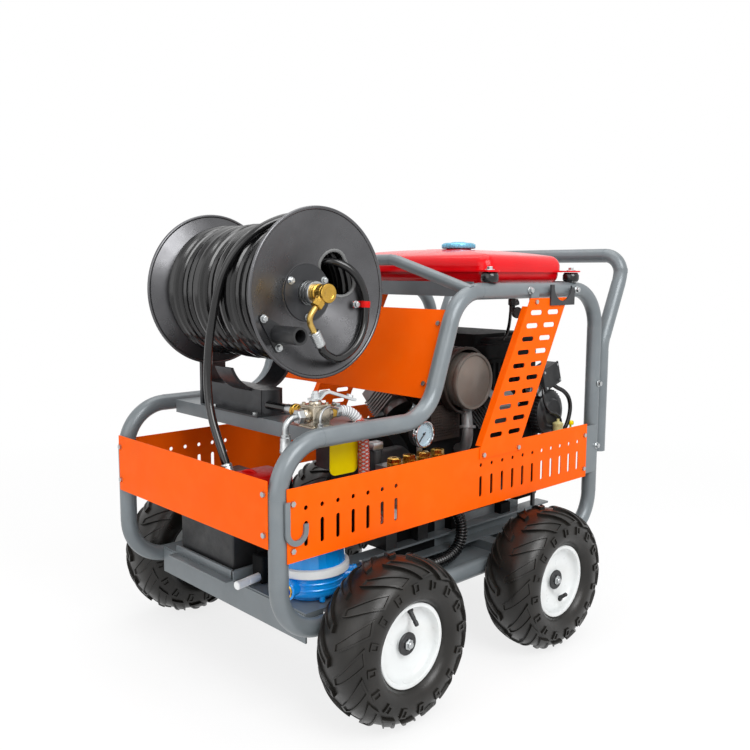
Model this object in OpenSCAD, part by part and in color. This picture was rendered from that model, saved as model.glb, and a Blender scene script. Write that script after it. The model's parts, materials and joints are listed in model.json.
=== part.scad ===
// Engine-driven drain jetter on four fixed pneumatic wheels, with its hose reel on a front shelf.
// Millimetres, +Z up, +X towards the push handle, -Y the near side with the hose hooks.
// The origin is on the ground under the middle of the machine.

/* [Frame] */
// Outer diameter of the frame tubes
tube_d = 40; // [36:1:42]
// Wall of the frame tubes
tube_wall = 2.5; // [1.5:0.5:4]
// Front post to rear post, centre to centre
frame_length = 1100; // [1090:2:1160]
// Near side frame to far side frame, centre to centre
frame_width = 618; // [612:1:622]
// Bend radius of the frame tubes on their centre line
bend_r = 105; // [90:1:112]
// Bottom rail to the low front rail
front_rail_rise = 392; // [384:1:410]
// Bottom rail to the high rear rail
top_rail_rise = 678; // [670:1:700]
// Front post to the foot of the slanted tube
slant_foot = 418; // [405:1:430]
// How far the slanted tube leans back
slant_run = 99; // [85:1:115]

/* [Push handle] */
// Handle leg behind the rear post, centre to centre
leg_setback = 41; // [41:1:48]
// Grip bar behind the rear post, centre to centre
grip_setback = 128; // [110:1:150]
// Height of the grip bar above the top rail
grip_rise = 95; // [70:1:120]
// Length of the straight leg below the top rail
leg_drop = 461; // [400:1:500]

/* [Sheet panels] */
// Thickness of the panels
sheet = 2.5; // [1.5:0.5:4]
// Height of the side panels
side_panel_h = 148; // [140:1:160]
// Lower edge of the side panels above the bottom rail
side_panel_rise = 160; // [150:1:165]
// Height of the front panel
front_panel_h = 135; // [120:1:140]
// Lower edge of the front panel above the bottom rail
front_panel_rise = 189; // [185:1:200]
// Length of the sloped panel along the slanted tubes
sloped_panel_l = 212; // [180:1:230]
// Width of the slotted strips
strip_w = 160; // [150:1:165]
// How far a slotted strip leans back over its height
strip_lean = 186; // [170:1:195]
// Diameter of the vent holes in the side panels
vent_d = 10; // [6:1:14]
// Length of the vent slots in the side panels
vent_slot_l = 51; // [40:1:56]

/* [Wheels] */
// Outer diameter of the tyres
tyre_d = 355; // [345:1:362]
// Section width of the tyres
tyre_w = 140; // [132:1:142]
// Radius of the rounded tyre shoulders
shoulder_r = 48; // [44:1:52]
// Diameter of the rim flanges
rim_d = 178; // [174:1:184]
// Tyre centre to tyre centre across the machine
track = 806; // [804:1:820]
// Front axle behind the front posts
front_axle_setback = 226; // [222:1:240]
// Front axle to rear axle
wheelbase = 526; // [510:1:545]
// Diameter of the wheel spindles
spindle_d = 25; // [20:1:28]

/* [Hose reel] */
// Outer diameter of the reel flanges
flange_d = 360; // [345:1:366]
// Rim to rim across the reel
reel_w = 407; // [400:1:412]
// Depth of the dish from the rim to the hub
dish = 46; // [40:1:50]
// Radius of the steel drum and of the flat hub
drum_r = 65; // [60:1:68]
// Reel axis behind the front posts
reel_setback = 177; // [170:1:190]
// Reel axis above the low front rail
reel_rise = 285; // [280:1:300]
// Middle of the reel, off the machine's centre line
reel_offset = -24; // [-30:1:-18]
// Diameter of the fixed reel axle
axle_d = 30; // [24:1:34]
// Outer diameter of the high-pressure hose
hose_d = 18; // [15:0.5:18.5]
// Turns in the outer layer on the drum
turns = 16; // [12:1:16]
// Spacing of the turns
pitch = 20.6; // [19.5:0.1:20.8]
// Centre-line radius of the outer layer
wind_r = 142; // [138:0.5:142]

/* [Fuel tank] */
// Length of the tank
tank_l = 320; // [300:1:325]
// Width of the tank
tank_w = 580; // [560:1:586]
// Height of the tank above its seam
tank_crown = 58; // [50:1:70]
// Diameter of the fuel cap
cap_d = 92; // [80:1:100]

/* [Water side] */
// Diameter of the water filter
filter_d = 170; // [150:1:174]
// Diameter of the pressure gauge
gauge_d = 66; // [56:1:70]
// Length of the ball-valve lever
lever_l = 104; // [80:1:110]
// Outer diameter of the clear bypass hose
bypass_d = 23; // [18:0.5:24]
// Outer diameter of the suction hose over its ribs
suction_d = 32; // [28:1:34]

/* [Engine] */
// Radius of the muffler
muffler_r = 72; // [60:1:76]
// Length of the muffler
muffler_l = 205; // [180:1:210]
// Radius of the blower housing
blower_r = 165; // [150:1:170]

/* [Hidden] */
$fn = 64;
// Gap of a running shaft in its bore, measured on the radius
run_gap = 0.05;
// Gap between pieces that are seated but not joined
seat_gap = 0.3;
// Small bolts: head across corners, head height, shank and clearance hole
bolt_head_d = 12;
bolt_head_h = 5;
bolt_d = 6;
bolt_hole_d = 6.6;
bolt_grip = 7;
tube_r = tube_d / 2;
// A straight tube reaches this far into its bends
bend_lap = 0.1;
// A bent tube draws down this much in diameter
bend_draw = 0.8;

// Places along X, worked out from the front posts
grip_reach = grip_setback + tube_r;
front_reach = tube_r + seat_gap + sheet + bolt_head_h;
fx = (front_reach - frame_length - grip_reach) / 2;
rx = fx + frame_length;
fy = frame_width / 2;
axle_x = [fx + front_axle_setback, fx + front_axle_setback + wheelbase];
slant_x0 = fx + slant_foot;
slant_x1 = slant_x0 + slant_run;
reel_x = fx + reel_setback;

// Heights, worked out from the ground
axle_z = tyre_d / 2;
axle_gap = 0.6;
bz = axle_z + spindle_d / 2 + axle_gap + tube_r;
fz = bz + front_rail_rise;
tz = bz + top_rail_rise;
deck_z = bz + tube_r;
beam_h = tube_d;
reel_z = fz + reel_rise;
grip_z = tz + grip_rise;

// Sheet metal
slot_w = vent_d;
vent_pitch = 41.4;
vent_z = bz + side_panel_rise + 104;
vent_slot_z = bz + side_panel_rise + 52;
panel_x0 = fx + 5;
panel_x1 = rx - 55;
panel_y = fy + tube_r + seat_gap;
side_bolt_x = [fx + 17, rx - 68];
side_bolt_z = [bz + side_panel_rise + 24, bz + side_panel_rise + 118];
front_bolt_z = [bz + front_panel_rise + 27, bz + front_panel_rise + 108];
front_panel_w = frame_width - 10;
front_bolt_y = fy - 14;
tab_t = 4;
tab_l = 34;
slant_v = [slant_run, tz - fz] / norm([slant_run, tz - fz]);
slant_tilt = atan2(slant_v.x, slant_v.y);
slant_mid = [(slant_x0 + slant_x1) / 2, (fz + tz) / 2];
sloped_bolt_s = sloped_panel_l * 0.34;
strip_x = slant_x0 + 160;
strip_z0 = bz + side_panel_rise + side_panel_h - 6;
strip_z1 = tz - tube_r + 1;
strip_y = panel_y + sheet + seat_gap;
strip_rows = 10;
strip_slot_l = 48;
strip_slot_h = 12;
strip_flange = 16;
strip_foot = 22;
strip_bolt_x = [strip_x + 12, strip_x + strip_w - 12];
strip_bolt_z = strip_z0 - 13;
strip_head_x = strip_x + strip_lean + 22;

// Wheels
rim_w = 87;
rim_flange_t = 3.2;
rim_seat_r = rim_d / 2 - 7;
rim_wall = 3;
disc_out = 20;
hub_r = 20;
hub_in = 40;
hub_out = 26;
tyre_wall = 12;
collar_r = 17;
nut_h = 12;
wheel_places = [[0, -1], [0, 1], [1, -1], [1, 1]];

// Reel
rim_half = reel_w / 2;
hub_half = rim_half - dish;
flange_r = flange_d / 2;
flange_t = 2.5;
hub_t = 5;
bead_r = 4;
bead_at = flange_r - bead_r;
bead_z = rim_half - bead_r;
core_gap = 0.5;
wind_sag = 1.9;
core_r = wind_r - hose_d / 2 - wind_sag;
axle_stub = 20;
collar_l = 33;
swivel_l = 73;
swivel_r = 20;
elbow_at = 58;
elbow_d = 13;
elbow_path = [[0, 0], [-45, 52], [-12, 107]];
elbow_bend = 22;
ferrule_r = 12;
ferrule_l = 34;
whip_slot = [[62, -62], [88, -20]];
whip_slot_r = 30;
whip_pocket = 64;
crank_at = [-108, 81];
crank_od = 36;
crank_id = 26;
crank_l = 78;
arm_t = 10;
arm_gap = 8;
stand_h = 58;
stand_y = [-48, 152];
saddle_r = 83;
saddle_t = 7;
saddle_w = 64;

// Shelf
shelf_z = fz + 7;
shelf_t = 4;
shelf_x0 = fx + 128;
shelf_x1 = fx + 292;
shelf_lip = 32;

// Tank
tank_x0 = slant_x1 + 126;
tank_mid = tank_x0 + tank_l / 2;
mount_h = 26;
seam_z = tz + tube_r + mount_h;
seam_t = 4;
tank_belly = 30;
tank_wall = 3;
ear = 44;
mount_x = [tank_x0 - 11, tank_x0 + tank_l + 12];
cap_at = [tank_mid, -62];
cap_h = 18;
neck_r = 30;
neck_wall = 3;
tap_at = [tank_mid + 40, -190];

// Engine and pump
bed_y = 195;
bed_w = 40;
bed_h = 46;
bed_z = deck_z + bed_h;
bed_x = [axle_x.x + 40, rx - 60];
bed_wall = 5;
block_x = [slant_x0 + 180, slant_x0 + 485];
block_hw = 140;
block_z = [bed_z + 16, bed_z + 243];
crank_z = bed_z + 153;
muffler_at = [slant_x0 + 293, fz + 51];
muffler_y0 = -198;
shield_gap = 8;
blower_x = [block_x.y + seat_gap, block_x.y + 130];
pump_x = [slant_x0 - 52, slant_x0 + 135];
pump_y = [53 - fy, 113 - fy];
pump_z = [bed_z + 70, bed_z + 229];
case_top = pump_z.y - 43;
case_y1 = -24;
pump_port_z = [pump_z.x + 20, pump_z.x + 82];
cap_r = 17.5;
cap_pitch = 49;
gauge_at = [slant_x0 + 86, pump_y.x + 30, pump_z.y + 6 + gauge_d / 2];
needle_rest = 135;
valve_at = [fx + 152, 71 - fy, shelf_z];
valve_w = 46;
valve_h = 48;
port_z = valve_at.z + 26;
port_r = 13;
stem_r = 6;
stem_z = valve_at.z + valve_h + 14;
filter_at = [fx + 165, 106 - fy];
filter_z = deck_z + shelf_t;
filter_ports = [-36, 200];
filter_port_z = 38;
inlet_r = 13;
inlet_depth = 30;
battery_at = [fx + 88, -18];
battery_size = [172, 226, 205];

// Routes of the hoses, chosen by hand
// Free stretch, from the middle of the reel
free_route = [[55, -146, 151], [28, -144, 158], [0, -141, 161], [-42, -133, 155], [-82, -122, 138],
  [-113, -109, 114], [-139, -94, 81], [-155, -78, 43], [-161, -62, 0], [-163, -48, -45], [-165, -36, -90],
  [-165, -28, -135], [-166, -25, -180], [-167, -30, -225], [-168, -42, -262], [-169, -60, -296],
  [-167, -76, -329], [-164, -88, -360]];
// Whip hose after the ferrule, from the reel's middle: across the flange, down the flange, along the axis
whip_route = [[18, 134, -213], [42, 140, -210], [74, 131, -206], [103, 109, -204], [122, 78, -202],
  [130, 42, -200], [128, 8, -199], [117, -24, -195], [99, -48, -187], [79, -62, -174], [62, -68, -157],
  [50, -68, -135], [45, -67, -115]];
// Delivery hose, from the middle of the valve at port height
delivery_route = [[-78, 0, -72], [-78, 0, -92], [-77, 0, -116], [-70, 0, -143], [-54, 0, -167], [-28, 1, -186],
  [10, 4, -198], [60, 8, -205], [120, 12, -207], [165, 12, -207], [201.5, 12, -207]];
// Bypass hose, from the middle of the valve at port height
bypass_route = [[52, 0, 0], [64, 0, 0], [77, -2, 0], [91, -8, -5], [102, -15, -17], [109, -21, -36],
  [112, -26, -62], [113, -28, -95], [113, -28, -140], [115, -27, -185], [125, -20, -226], [146, -4, -254],
  [172, 10, -267], [188, 12, -269], [201.5, 12, -269]];
bypass_drop = bypass_route[6];
// Suction hose, from the foot of the near front post at deck height
suction_route = [[254, 44, 42], [270, 43, 42], [290, 45, 39], [320, 51, 22], [356, 56, 5], [400, 59, -3],
  [450, 59, -4], [510, 59, -4], [560, 59, -1], [596, 59, 13], [614, 60, 40], [618, 63, 72], [608, 69, 102],
  [590, 75, 124], [570, 79, 133], [553.5, 79, 134]];

// Plane geometry
function unit(v) = v / norm(v);
function turn(u, v) = acos(max(-1, min(1, u * v)));
function trim(u, v, r) = r * tan(turn(u, v) / 2);
function is_left(u, v) = u.x * v.y - u.y * v.x > 0;

// A straight round bar in the XY plane, reaching a little into the bends at its ends
module straight(a, b, d) {
  if (norm(b - a) > 0.01)
    translate([a.x, a.y, 0])
      rotate([0, 90, atan2(b.y - a.y, b.x - a.x)])
        translate([0, 0, -bend_lap])
          cylinder(d = d, h = norm(b - a) + 2 * bend_lap);
}

// A round bend in the XY plane at corner c, from direction u to direction v
module bend(c, u, v, r, d) {
  side = is_left(u, v) ? 1 : -1;
  start = c - u * trim(u, v, r);
  centre = start + r * side * [-u.y, u.x];
  from = atan2(start.y - centre.y, start.x - centre.x);
  translate([centre.x, centre.y, 0])
    rotate([0, 0, side > 0 ? from : from - turn(u, v)])
      rotate_extrude(angle = turn(u, v))
        translate([r, 0])
          circle(d = d - bend_draw);
}

// A closed loop of bar with rounded corners, in the XY plane
module bent_loop(p, r, d) {
  n = len(p);
  for (i = [0 : n - 1]) {
    b = p[i];
    c = p[(i + 1) % n];
    u = unit(b - p[(i + n - 1) % n]);
    v = unit(c - b);
    w = unit(p[(i + 2) % n] - c);
    bend(b, u, v, r, d);
    straight(b + v * trim(u, v, r), c - v * trim(v, w, r), d);
  }
}

// An open bar with rounded corners, in the XY plane
module bent_bar(p, r, d) {
  n = len(p);
  for (i = [0 : n - 2]) {
    v = unit(p[i + 1] - p[i]);
    t0 = i == 0 ? 0 : trim(unit(p[i] - p[i - 1]), v, r);
    t1 = i == n - 2 ? 0 : trim(v, unit(p[i + 2] - p[i + 1]), r);
    straight(p[i] + v * t0, p[i + 1] - v * t1, d);
    if (i < n - 2)
      bend(p[i + 1], v, unit(p[i + 2] - p[i + 1]), r, d);
  }
}

// Placing helpers
module on_xz(y) {
  translate([0, y, 0])
    rotate([90, 0, 0])
      children();
}

module along_y(x, y, z) {
  translate([x, y, z])
    rotate([-90, 0, 0])
      children();
}

module along_x(x, y, z) {
  translate([x, y, z])
    rotate([0, 90, 0])
      children();
}

module aim(p, v) {
  translate(p)
    rotate([0, acos(v.z / norm(v)), atan2(v.y, v.x)])
      children();
}

module block(a, b) {
  translate(a)
    cube(b - a);
}

module mirrored_y(far) {
  mirror([0, far ? 1 : 0, 0])
    children();
}

// A swept tube: points smoothed through the route, rings carried along without twist
function spline(p, i, t) = let(
  a = p[max(i - 1, 0)],
  b = p[i],
  c = p[i + 1],
  d = p[min(i + 2, len(p) - 1)])
  0.5 * (2 * b + (c - a) * t + (2 * a - 5 * b + 4 * c - d) * t * t + (3 * b - a - 3 * c + d) * t * t * t);
function smoothed(p, k) = concat([for (i = [0 : len(p) - 2], j = [0 : k - 1]) spline(p, i, j / k)],
  [p[len(p) - 1]]);
function heading(p, i) = unit(p[min(i + 1, len(p) - 1)] - p[max(min(i, len(p) - 1) - 1, 0)]);
function square_to(n, t) = unit(n - (n * t) * t);
function normals(p, first) = [for (i = 0, n = square_to(first, heading(p, 0)); i < len(p);
  i = i + 1, n = square_to(n, heading(p, i))) n];
function ring(c, t, n, r, sides) = [for (k = [0 : sides - 1])
  c + r * (cos(360 * k / sides) * n + sin(360 * k / sides) * cross(t, n))];
function skin(rings, sides) = [for (i = [0 : rings - 2], k = [0 : sides - 1], h = [0, 1])
  let(a = i * sides + k, b = i * sides + (k + 1) % sides)
  h == 0 ? [a, b, b + sides] : [a, b + sides, a + sides]];
function cap_faces(first, sides, flip) = [for (k = [1 : sides - 2])
  flip ? [first, first + k + 1, first + k] : [first, first + k, first + k + 1]];

module tube(p, d, sides, first) {
  n = normals(p, first);
  rings = [for (i = [0 : len(p) - 1]) ring(p[i], heading(p, i), n[i], d / 2, sides)];
  faces = concat(skin(len(p), sides), cap_faces(0, sides, true),
    cap_faces((len(p) - 1) * sides, sides, false));
  polyhedron(points = [for (r = rings, q = r) q], faces = [for (f = faces) [f[0], f[2], f[1]]]);
}

// A ribbed tube with a bore; the rings' radius steps between root and crest
module ribbed_tube(p, d, root_d, bore_d, sides, first) {
  n = normals(p, first);
  last = len(p) - 1;
  outer = [for (i = [0 : last])
    ring(p[i], heading(p, i), n[i], (i < 2 || i > last - 2 || i % 2 == 0 ? root_d : d) / 2, sides)];
  inner = [for (i = [0 : last]) ring(p[i], heading(p, i), n[i], bore_d / 2, sides)];
  base = (last + 1) * sides;
  walls = concat([for (f = skin(last + 1, sides)) [f[0], f[2], f[1]]],
    [for (f = skin(last + 1, sides)) f + [base, base, base]]);
  ends = [for (e = [0, last * sides], k = [0 : sides - 1], h = [0, 1])
    let(a = e + k, b = e + (k + 1) % sides, flip = e == 0)
    h == 0 ? (flip ? [a, b, b + base] : [a, b + base, b])
      : (flip ? [a, b + base, a + base] : [a, a + base, b + base])];
  polyhedron(points = concat([for (r = outer, q = r) q], [for (r = inner, q = r) q]),
    faces = concat(walls, ends));
}

// Frame
loop_path = [[fx, bz], [rx, bz], [rx, tz], [slant_x1, tz], [slant_x0, fz], [fx, fz]];

module at_side_bolts() {
  for (x = side_bolt_x, z = side_bolt_z)
    along_y(x, -panel_y - sheet, z)
      children();
}

module at_strip_bolts() {
  for (x = strip_bolt_x)
    along_y(x, -strip_y - sheet, strip_bolt_z)
      children();
  along_y(strip_head_x, -strip_y - sheet, strip_z1 - 9)
    children();
}

module at_front_bolts() {
  for (z = front_bolt_z)
    along_x(fx - tube_r - seat_gap - sheet, -front_bolt_y, z)
      children();
}

module on_slope() {
  translate([slant_mid.x, 0, slant_mid.y])
    rotate([0, slant_tilt, 0])
      children();
}

module at_sloped_bolts() {
  for (s = [-1, 1])
    on_slope()
      along_x(-sheet, -fy + tube_r + 12, s * sloped_bolt_s)
        children();
}

module bolt_hole() {
  translate([0, 0, -bolt_grip])
    cylinder(d = bolt_hole_d, h = 4 * bolt_grip);
}

module at_handle_bolts() {
  for (z = [tz - leg_drop + 14, tz - leg_drop / 2 - 34])
    along_x(rx, -fy, z)
      children();
}

module side_frame() {
  difference() {
    union() {
      on_xz(-fy)
        bent_loop(loop_path, bend_r, tube_d);
      block([rx - tube_r - 62, -panel_y + seat_gap, bz + side_panel_rise + 6],
        [rx, -panel_y + tab_t, bz + side_panel_rise + side_panel_h - 8]);
      block([strip_head_x - 16, -strip_y + seat_gap, tz - tube_d],
        [strip_head_x + 16, -fy - tube_r + tab_t, tz]);
      for (s = [-1, 1])
        on_slope()
          block([seat_gap, -fy, s * sloped_bolt_s - tab_l / 2],
            [tab_t, -fy + tube_r + tab_l - 8, s * sloped_bolt_s + tab_l / 2]);
    }
    on_xz(-fy)
      bent_loop(loop_path, bend_r, tube_d - 2 * tube_wall);
    translate([fx + frame_length / 2, -fy, bz - tube_d])
      cylinder(d = vent_d, h = tube_d);
    at_side_bolts()
      bolt_hole();
    at_strip_bolts()
      bolt_hole();
    at_front_bolts()
      bolt_hole();
    at_sloped_bolts()
      bolt_hole();
    at_handle_bolts()
      cylinder(d = bolt_hole_d, h = tube_d);
  }
}

module side_frame_near() {
  color("slategray")
    side_frame();
}

module side_frame_far() {
  color("slategray")
    mirrored_y(true)
      side_frame();
}

// Base: cross beams between the bottom rails, bed rails on them and the equipment tray
beam_y = fy - tube_r - seat_gap;
front_beam_x = fx + 108;
rear_beam_x = rx - 92;
tray_x = [fx + 84, axle_x.x + 64];

module c_rail(y) {
  side = y < 0 ? -1 : 1;
  difference() {
    block([bed_x.x, y - bed_w / 2, deck_z], [bed_x.y, y + bed_w / 2, bed_z]);
    translate([0, side * bed_wall, 0])
      block([bed_x.x - 1, y - bed_w / 2, deck_z + bed_wall], [bed_x.y + 1, y + bed_w / 2, bed_z - bed_wall]);
  }
}

module base_frame() {
  color("gray") {
    for (x = [front_beam_x, axle_x.x, axle_x.y, rear_beam_x])
      block([x - 22, -beam_y, bz - tube_r], [x + 22, beam_y, deck_z]);
    block([front_beam_x - 26, -beam_y, bz - beam_h], [front_beam_x - 22, beam_y, deck_z]);
    block([tray_x.x, -beam_y, deck_z], [tray_x.y, beam_y, deck_z + shelf_t]);
    for (y = [-bed_y, bed_y])
      c_rail(y);
  }
}

// Axles and wheels
module axle(x) {
  shoulder = track / 2 - hub_in - seat_gap;
  spindle_end = track / 2 + hub_out + nut_h + seat_gap;
  color("dimgray") {
    along_y(x, -spindle_end, axle_z)
      cylinder(d = spindle_d, h = 2 * spindle_end);
    for (s = [-1, 1])
      along_y(x, s > 0 ? fy + tube_r + seat_gap : -shoulder, axle_z)
        cylinder(r = collar_r, h = shoulder - fy - tube_r - seat_gap);
  }
}

module front_axle() {
  axle(axle_x.x);
}

module rear_axle() {
  axle(axle_x.y);
}

// A wheel in its own frame: axis along Z, outboard upwards
module at_wheel(i) {
  p = wheel_places[i];
  translate([axle_x[p.x], p.y * track / 2, axle_z])
    rotate([p.y * -90, 0, 0])
      children();
}

module tyre_section(r, w) {
  for (s = [-1, 1])
    translate([tyre_d / 2 - shoulder_r, s * (tyre_w / 2 - shoulder_r)])
      circle(r = shoulder_r - w);
  translate([r, -(tyre_w / 2 - shoulder_r)])
    square([tyre_d / 2 - w - r, tyre_w - 2 * shoulder_r]);
}

module tyre(i) {
  bead_half = rim_w / 2 - rim_flange_t - seat_gap;
  color("#222222")
    at_wheel(i)
      rotate_extrude()
        difference() {
          tyre_section(rim_seat_r, 0);
          tyre_section(rim_seat_r + tyre_wall, tyre_wall);
          square([2 * (rim_seat_r + seat_gap), tyre_w + 2], center = true);
          translate([0, -24])
            square([rim_seat_r + 2 * tyre_wall, 48]);
          for (s = [0, 1])
            mirror([0, s])
              translate([0, bead_half])
                square([rim_d / 2 + seat_gap, tyre_w]);
        }
}

module rim(i) {
  bore = spindle_d / 2 + run_gap;
  barrel_r = rim_seat_r - rim_wall;
  side = rim_w / 2;
  lip = side - rim_flange_t;
  color("white")
    at_wheel(i)
      rotate_extrude()
        polygon([[bore, -hub_in], [hub_r, -hub_in], [hub_r, disc_out - rim_wall], [barrel_r, disc_out - rim_wall],
          [barrel_r, -side], [rim_d / 2, -side], [rim_d / 2, -lip], [rim_seat_r, -lip], [rim_seat_r, lip],
          [rim_d / 2, lip], [rim_d / 2, side], [barrel_r, side], [barrel_r, disc_out], [hub_r, disc_out],
          [hub_r, hub_out], [bore, hub_out]]);
}

module tyre_front_near() tyre(0);
module tyre_front_far() tyre(1);
module tyre_rear_near() tyre(2);
module tyre_rear_far() tyre(3);
module rim_front_near() rim(0);
module rim_front_far() rim(1);
module rim_rear_near() rim(2);
module rim_rear_far() rim(3);

module axle_nuts() {
  color("dimgray")
    for (i = [0 : 3])
      at_wheel(i)
        translate([0, 0, hub_out + seat_gap])
          difference() {
            cylinder(r = spindle_d / 2 + 5, h = nut_h, $fn = 6);
            translate([0, 0, -1])
              cylinder(d = spindle_d + 2 * run_gap, h = nut_h + 2);
          }
}

// Shelf, guard tube and tank bars
module reel_shelf() {
  color("gray")
    difference() {
      union() {
        block([shelf_x0, -beam_y, shelf_z - shelf_t], [shelf_x1, beam_y, shelf_z]);
        block([shelf_x0, -beam_y, shelf_z - shelf_lip], [shelf_x0 + shelf_t, beam_y, shelf_z]);
      }
      block([valve_at.x + bypass_drop.x - bypass_d - 3, -beam_y - 1, shelf_z - shelf_lip],
        [valve_at.x + bypass_drop.x + bypass_d / 2 + 5, valve_at.y + bypass_drop.y + bypass_d + 3, shelf_z + 1]);
      at_stand_bolts()
        bolt_hole();
    }
}

guard_d = 28;
guard_rise = 75;
guard_half = fy + 8;
guard_level = 60;
guard_bend = 80;
guard_path = [[-guard_half, tz], [-guard_level, tz + guard_rise],
  [guard_level, tz + guard_rise], [guard_half, tz]];

module tank_guard() {
  color("slategray")
    difference() {
      translate([slant_x1 + 41, 0, 0])
        rotate([90, 0, 90])
          bent_bar(guard_path, guard_bend, guard_d);
      for (y = [-fy, fy])
        on_xz(y)
          bent_bar([for (i = [2 : 4]) loop_path[i]], bend_r, tube_d + 2 * seat_gap);
    }
}

module tank_bars() {
  color("slategray")
    for (x = [tank_x0 - 46, tank_x0 + tank_l + 46])
      block([x - 2, -beam_y, tz - 14], [x + 2, beam_y, tz + tube_r + 2]);
}

// Push handle
handle_kink = [tz - 152, tz + 36];
grip_bend = 50;
leg_bend = 100;
leg_path = [[rx + leg_setback, tz - leg_drop], [rx + leg_setback, handle_kink.x],
  [rx + grip_setback, handle_kink.y], [rx + grip_setback, grip_z - grip_bend]];
grip_path = [[-fy, grip_z - grip_bend], [-fy, grip_z], [fy, grip_z], [fy, grip_z - grip_bend]];

module handle_bar(d) {
  for (y = [-fy, fy])
    on_xz(y)
      bent_bar(leg_path, leg_bend, d);
  translate([rx + grip_setback, 0, 0])
    rotate([90, 0, 90])
      bent_bar(grip_path, grip_bend, d);
}

module push_handle() {
  color("slategray")
    difference() {
      handle_bar(tube_d);
      handle_bar(tube_d - 2 * tube_wall);
      for (far = [false, true])
        mirrored_y(far)
          at_handle_bolts()
            cylinder(d = bolt_hole_d, h = leg_setback + 2 * tube_d);
    }
}

// Panels
module round_slot(l, w, h) {
  for (s = [-1, 1])
    translate([s * (l - w) / 2, 0, 0])
      cylinder(d = w, h = h);
  translate([-(l - w) / 2, -w / 2, 0])
    cube([l - w, w, h]);
}

module vent_group(x, count) {
  for (i = [0 : count - 1]) {
    along_y(x + i * vent_pitch, -panel_y - 2 * sheet, vent_z)
      cylinder(d = vent_d, h = 4 * sheet);
    along_y(x + i * vent_pitch, -panel_y - 2 * sheet, vent_slot_z)
      rotate([0, 0, 90])
        round_slot(vent_slot_l, slot_w, 4 * sheet);
  }
}

module side_panel() {
  color("darkorange")
    difference() {
      block([panel_x0, -panel_y - sheet, bz + side_panel_rise],
        [panel_x1, -panel_y, bz + side_panel_rise + side_panel_h]);
      vent_group(fx + 51, 7);
      vent_group(strip_x + 8, 11);
      at_side_bolts()
        bolt_hole();
      at_strip_bolts()
        bolt_hole();
    }
}

module side_panel_near() {
  side_panel();
}

module side_panel_far() {
  mirrored_y(true)
    side_panel();
}

module front_panel() {
  x = fx - tube_r - seat_gap;
  color("darkorange")
    difference() {
      block([x - sheet, -front_panel_w / 2, bz + front_panel_rise],
        [x, front_panel_w / 2, bz + front_panel_rise + front_panel_h]);
      for (far = [false, true])
        mirrored_y(far)
          at_front_bolts()
            bolt_hole();
    }
}

module sloped_panel() {
  color("darkorange")
    difference() {
      on_slope()
        block([-sheet, -beam_y, -sloped_panel_l / 2], [0, beam_y, sloped_panel_l / 2]);
      for (far = [false, true])
        mirrored_y(far)
          at_sloped_bolts()
            bolt_hole();
    }
}

// A slotted strip lies on the side panel at its foot and on the top rail at its head
function strip_at(z) = strip_x + strip_lean * (z - strip_z0) / (strip_z1 - strip_z0);

module strip_outline(w) {
  polygon([[strip_at(strip_z0) , strip_z0 - strip_foot], [strip_at(strip_z0) + w, strip_z0 - strip_foot],
    [strip_at(strip_z0) + w, strip_z0], [strip_at(strip_z1) + w, strip_z1], [strip_at(strip_z1), strip_z1],
    [strip_at(strip_z0), strip_z0]]);
}

module slotted_strip() {
  row_h = (strip_z1 - strip_z0 - 66) / (strip_rows - 1);
  flange_z0 = bz + side_panel_rise + side_panel_h + 2;
  flange_z1 = strip_z1 - tube_r;
  color("darkorange")
    difference() {
      union() {
        on_xz(-strip_y)
          linear_extrude(sheet)
            strip_outline(strip_w);
        on_xz(-strip_y + strip_flange)
          linear_extrude(strip_flange + sheet)
            polygon([[strip_at(flange_z0), flange_z0], [strip_at(flange_z0) + sheet, flange_z0],
              [strip_at(flange_z1) + sheet, flange_z1], [strip_at(flange_z1), flange_z1]]);
      }
      for (i = [0 : strip_rows - 1], k = [0, 1]) {
        z = strip_z0 + 30 + i * row_h;
        along_y(strip_at(z) + strip_w * (0.28 + 0.45 * k), -strip_y - 2 * sheet, z)
          round_slot(strip_slot_l, strip_slot_h, 4 * sheet);
      }
      at_strip_bolts()
        bolt_hole();
    }
}

module slotted_strip_near() {
  slotted_strip();
}

module slotted_strip_far() {
  mirrored_y(true)
    slotted_strip();
}

// Hooks: a J plate on the front post and a U plate on the top rail
hook_t = 5;
hook_y = -panel_y - sheet - hook_t;
hook_r = 17;

module j_hook() {
  x = fx - 2;
  z = bz + 221;
  difference() {
    union() {
      block([x, hook_y, z - 4], [x + 11, hook_y + hook_t, z + 62]);
      along_y(x + 11 + hook_r, hook_y, z)
        cylinder(r = hook_r + 11, h = hook_t);
      block([x + 11 + 2 * hook_r, hook_y, z], [x + 2 * hook_r + 22, hook_y + hook_t, z + 12]);
    }
    along_y(x + 11 + hook_r, hook_y - 1, z)
      cylinder(r = hook_r, h = hook_t + 2);
    block([x + 11, hook_y - 1, z], [x + 11 + 2 * hook_r, hook_y + hook_t + 1, z + 80]);
  }
}

module u_hook() {
  x = tank_x0 + 204;
  y = -fy - tube_r - seat_gap - hook_t;
  mid_z = tz + 14;
  difference() {
    block([x, y, mid_z - 32], [x + 98, y + hook_t, mid_z + 8]);
    along_y(x + 49, y - 1, mid_z)
      cylinder(r = 22, h = hook_t + 2);
    block([x + 27, y - 1, mid_z], [x + 71, y + hook_t + 1, mid_z + 30]);
  }
}

module hose_hooks() {
  color("slategray") {
    j_hook();
    u_hook();
  }
}

// Bolts of the panels, the handle and the reel stand
module bolt() {
  translate([0, 0, -bolt_head_h])
    cylinder(d = bolt_head_d, h = bolt_head_h, $fn = 6);
  cylinder(d = bolt_d, h = bolt_grip);
}

module at_stand_bolts() {
  for (y = [reel_offset + stand_y.x + 24, reel_offset + stand_y.y - 14], s = [-1, 1])
    translate([reel_x + s * 44, y, shelf_z + shelf_t])
      rotate([180, 0, 0])
        children();
}

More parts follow.
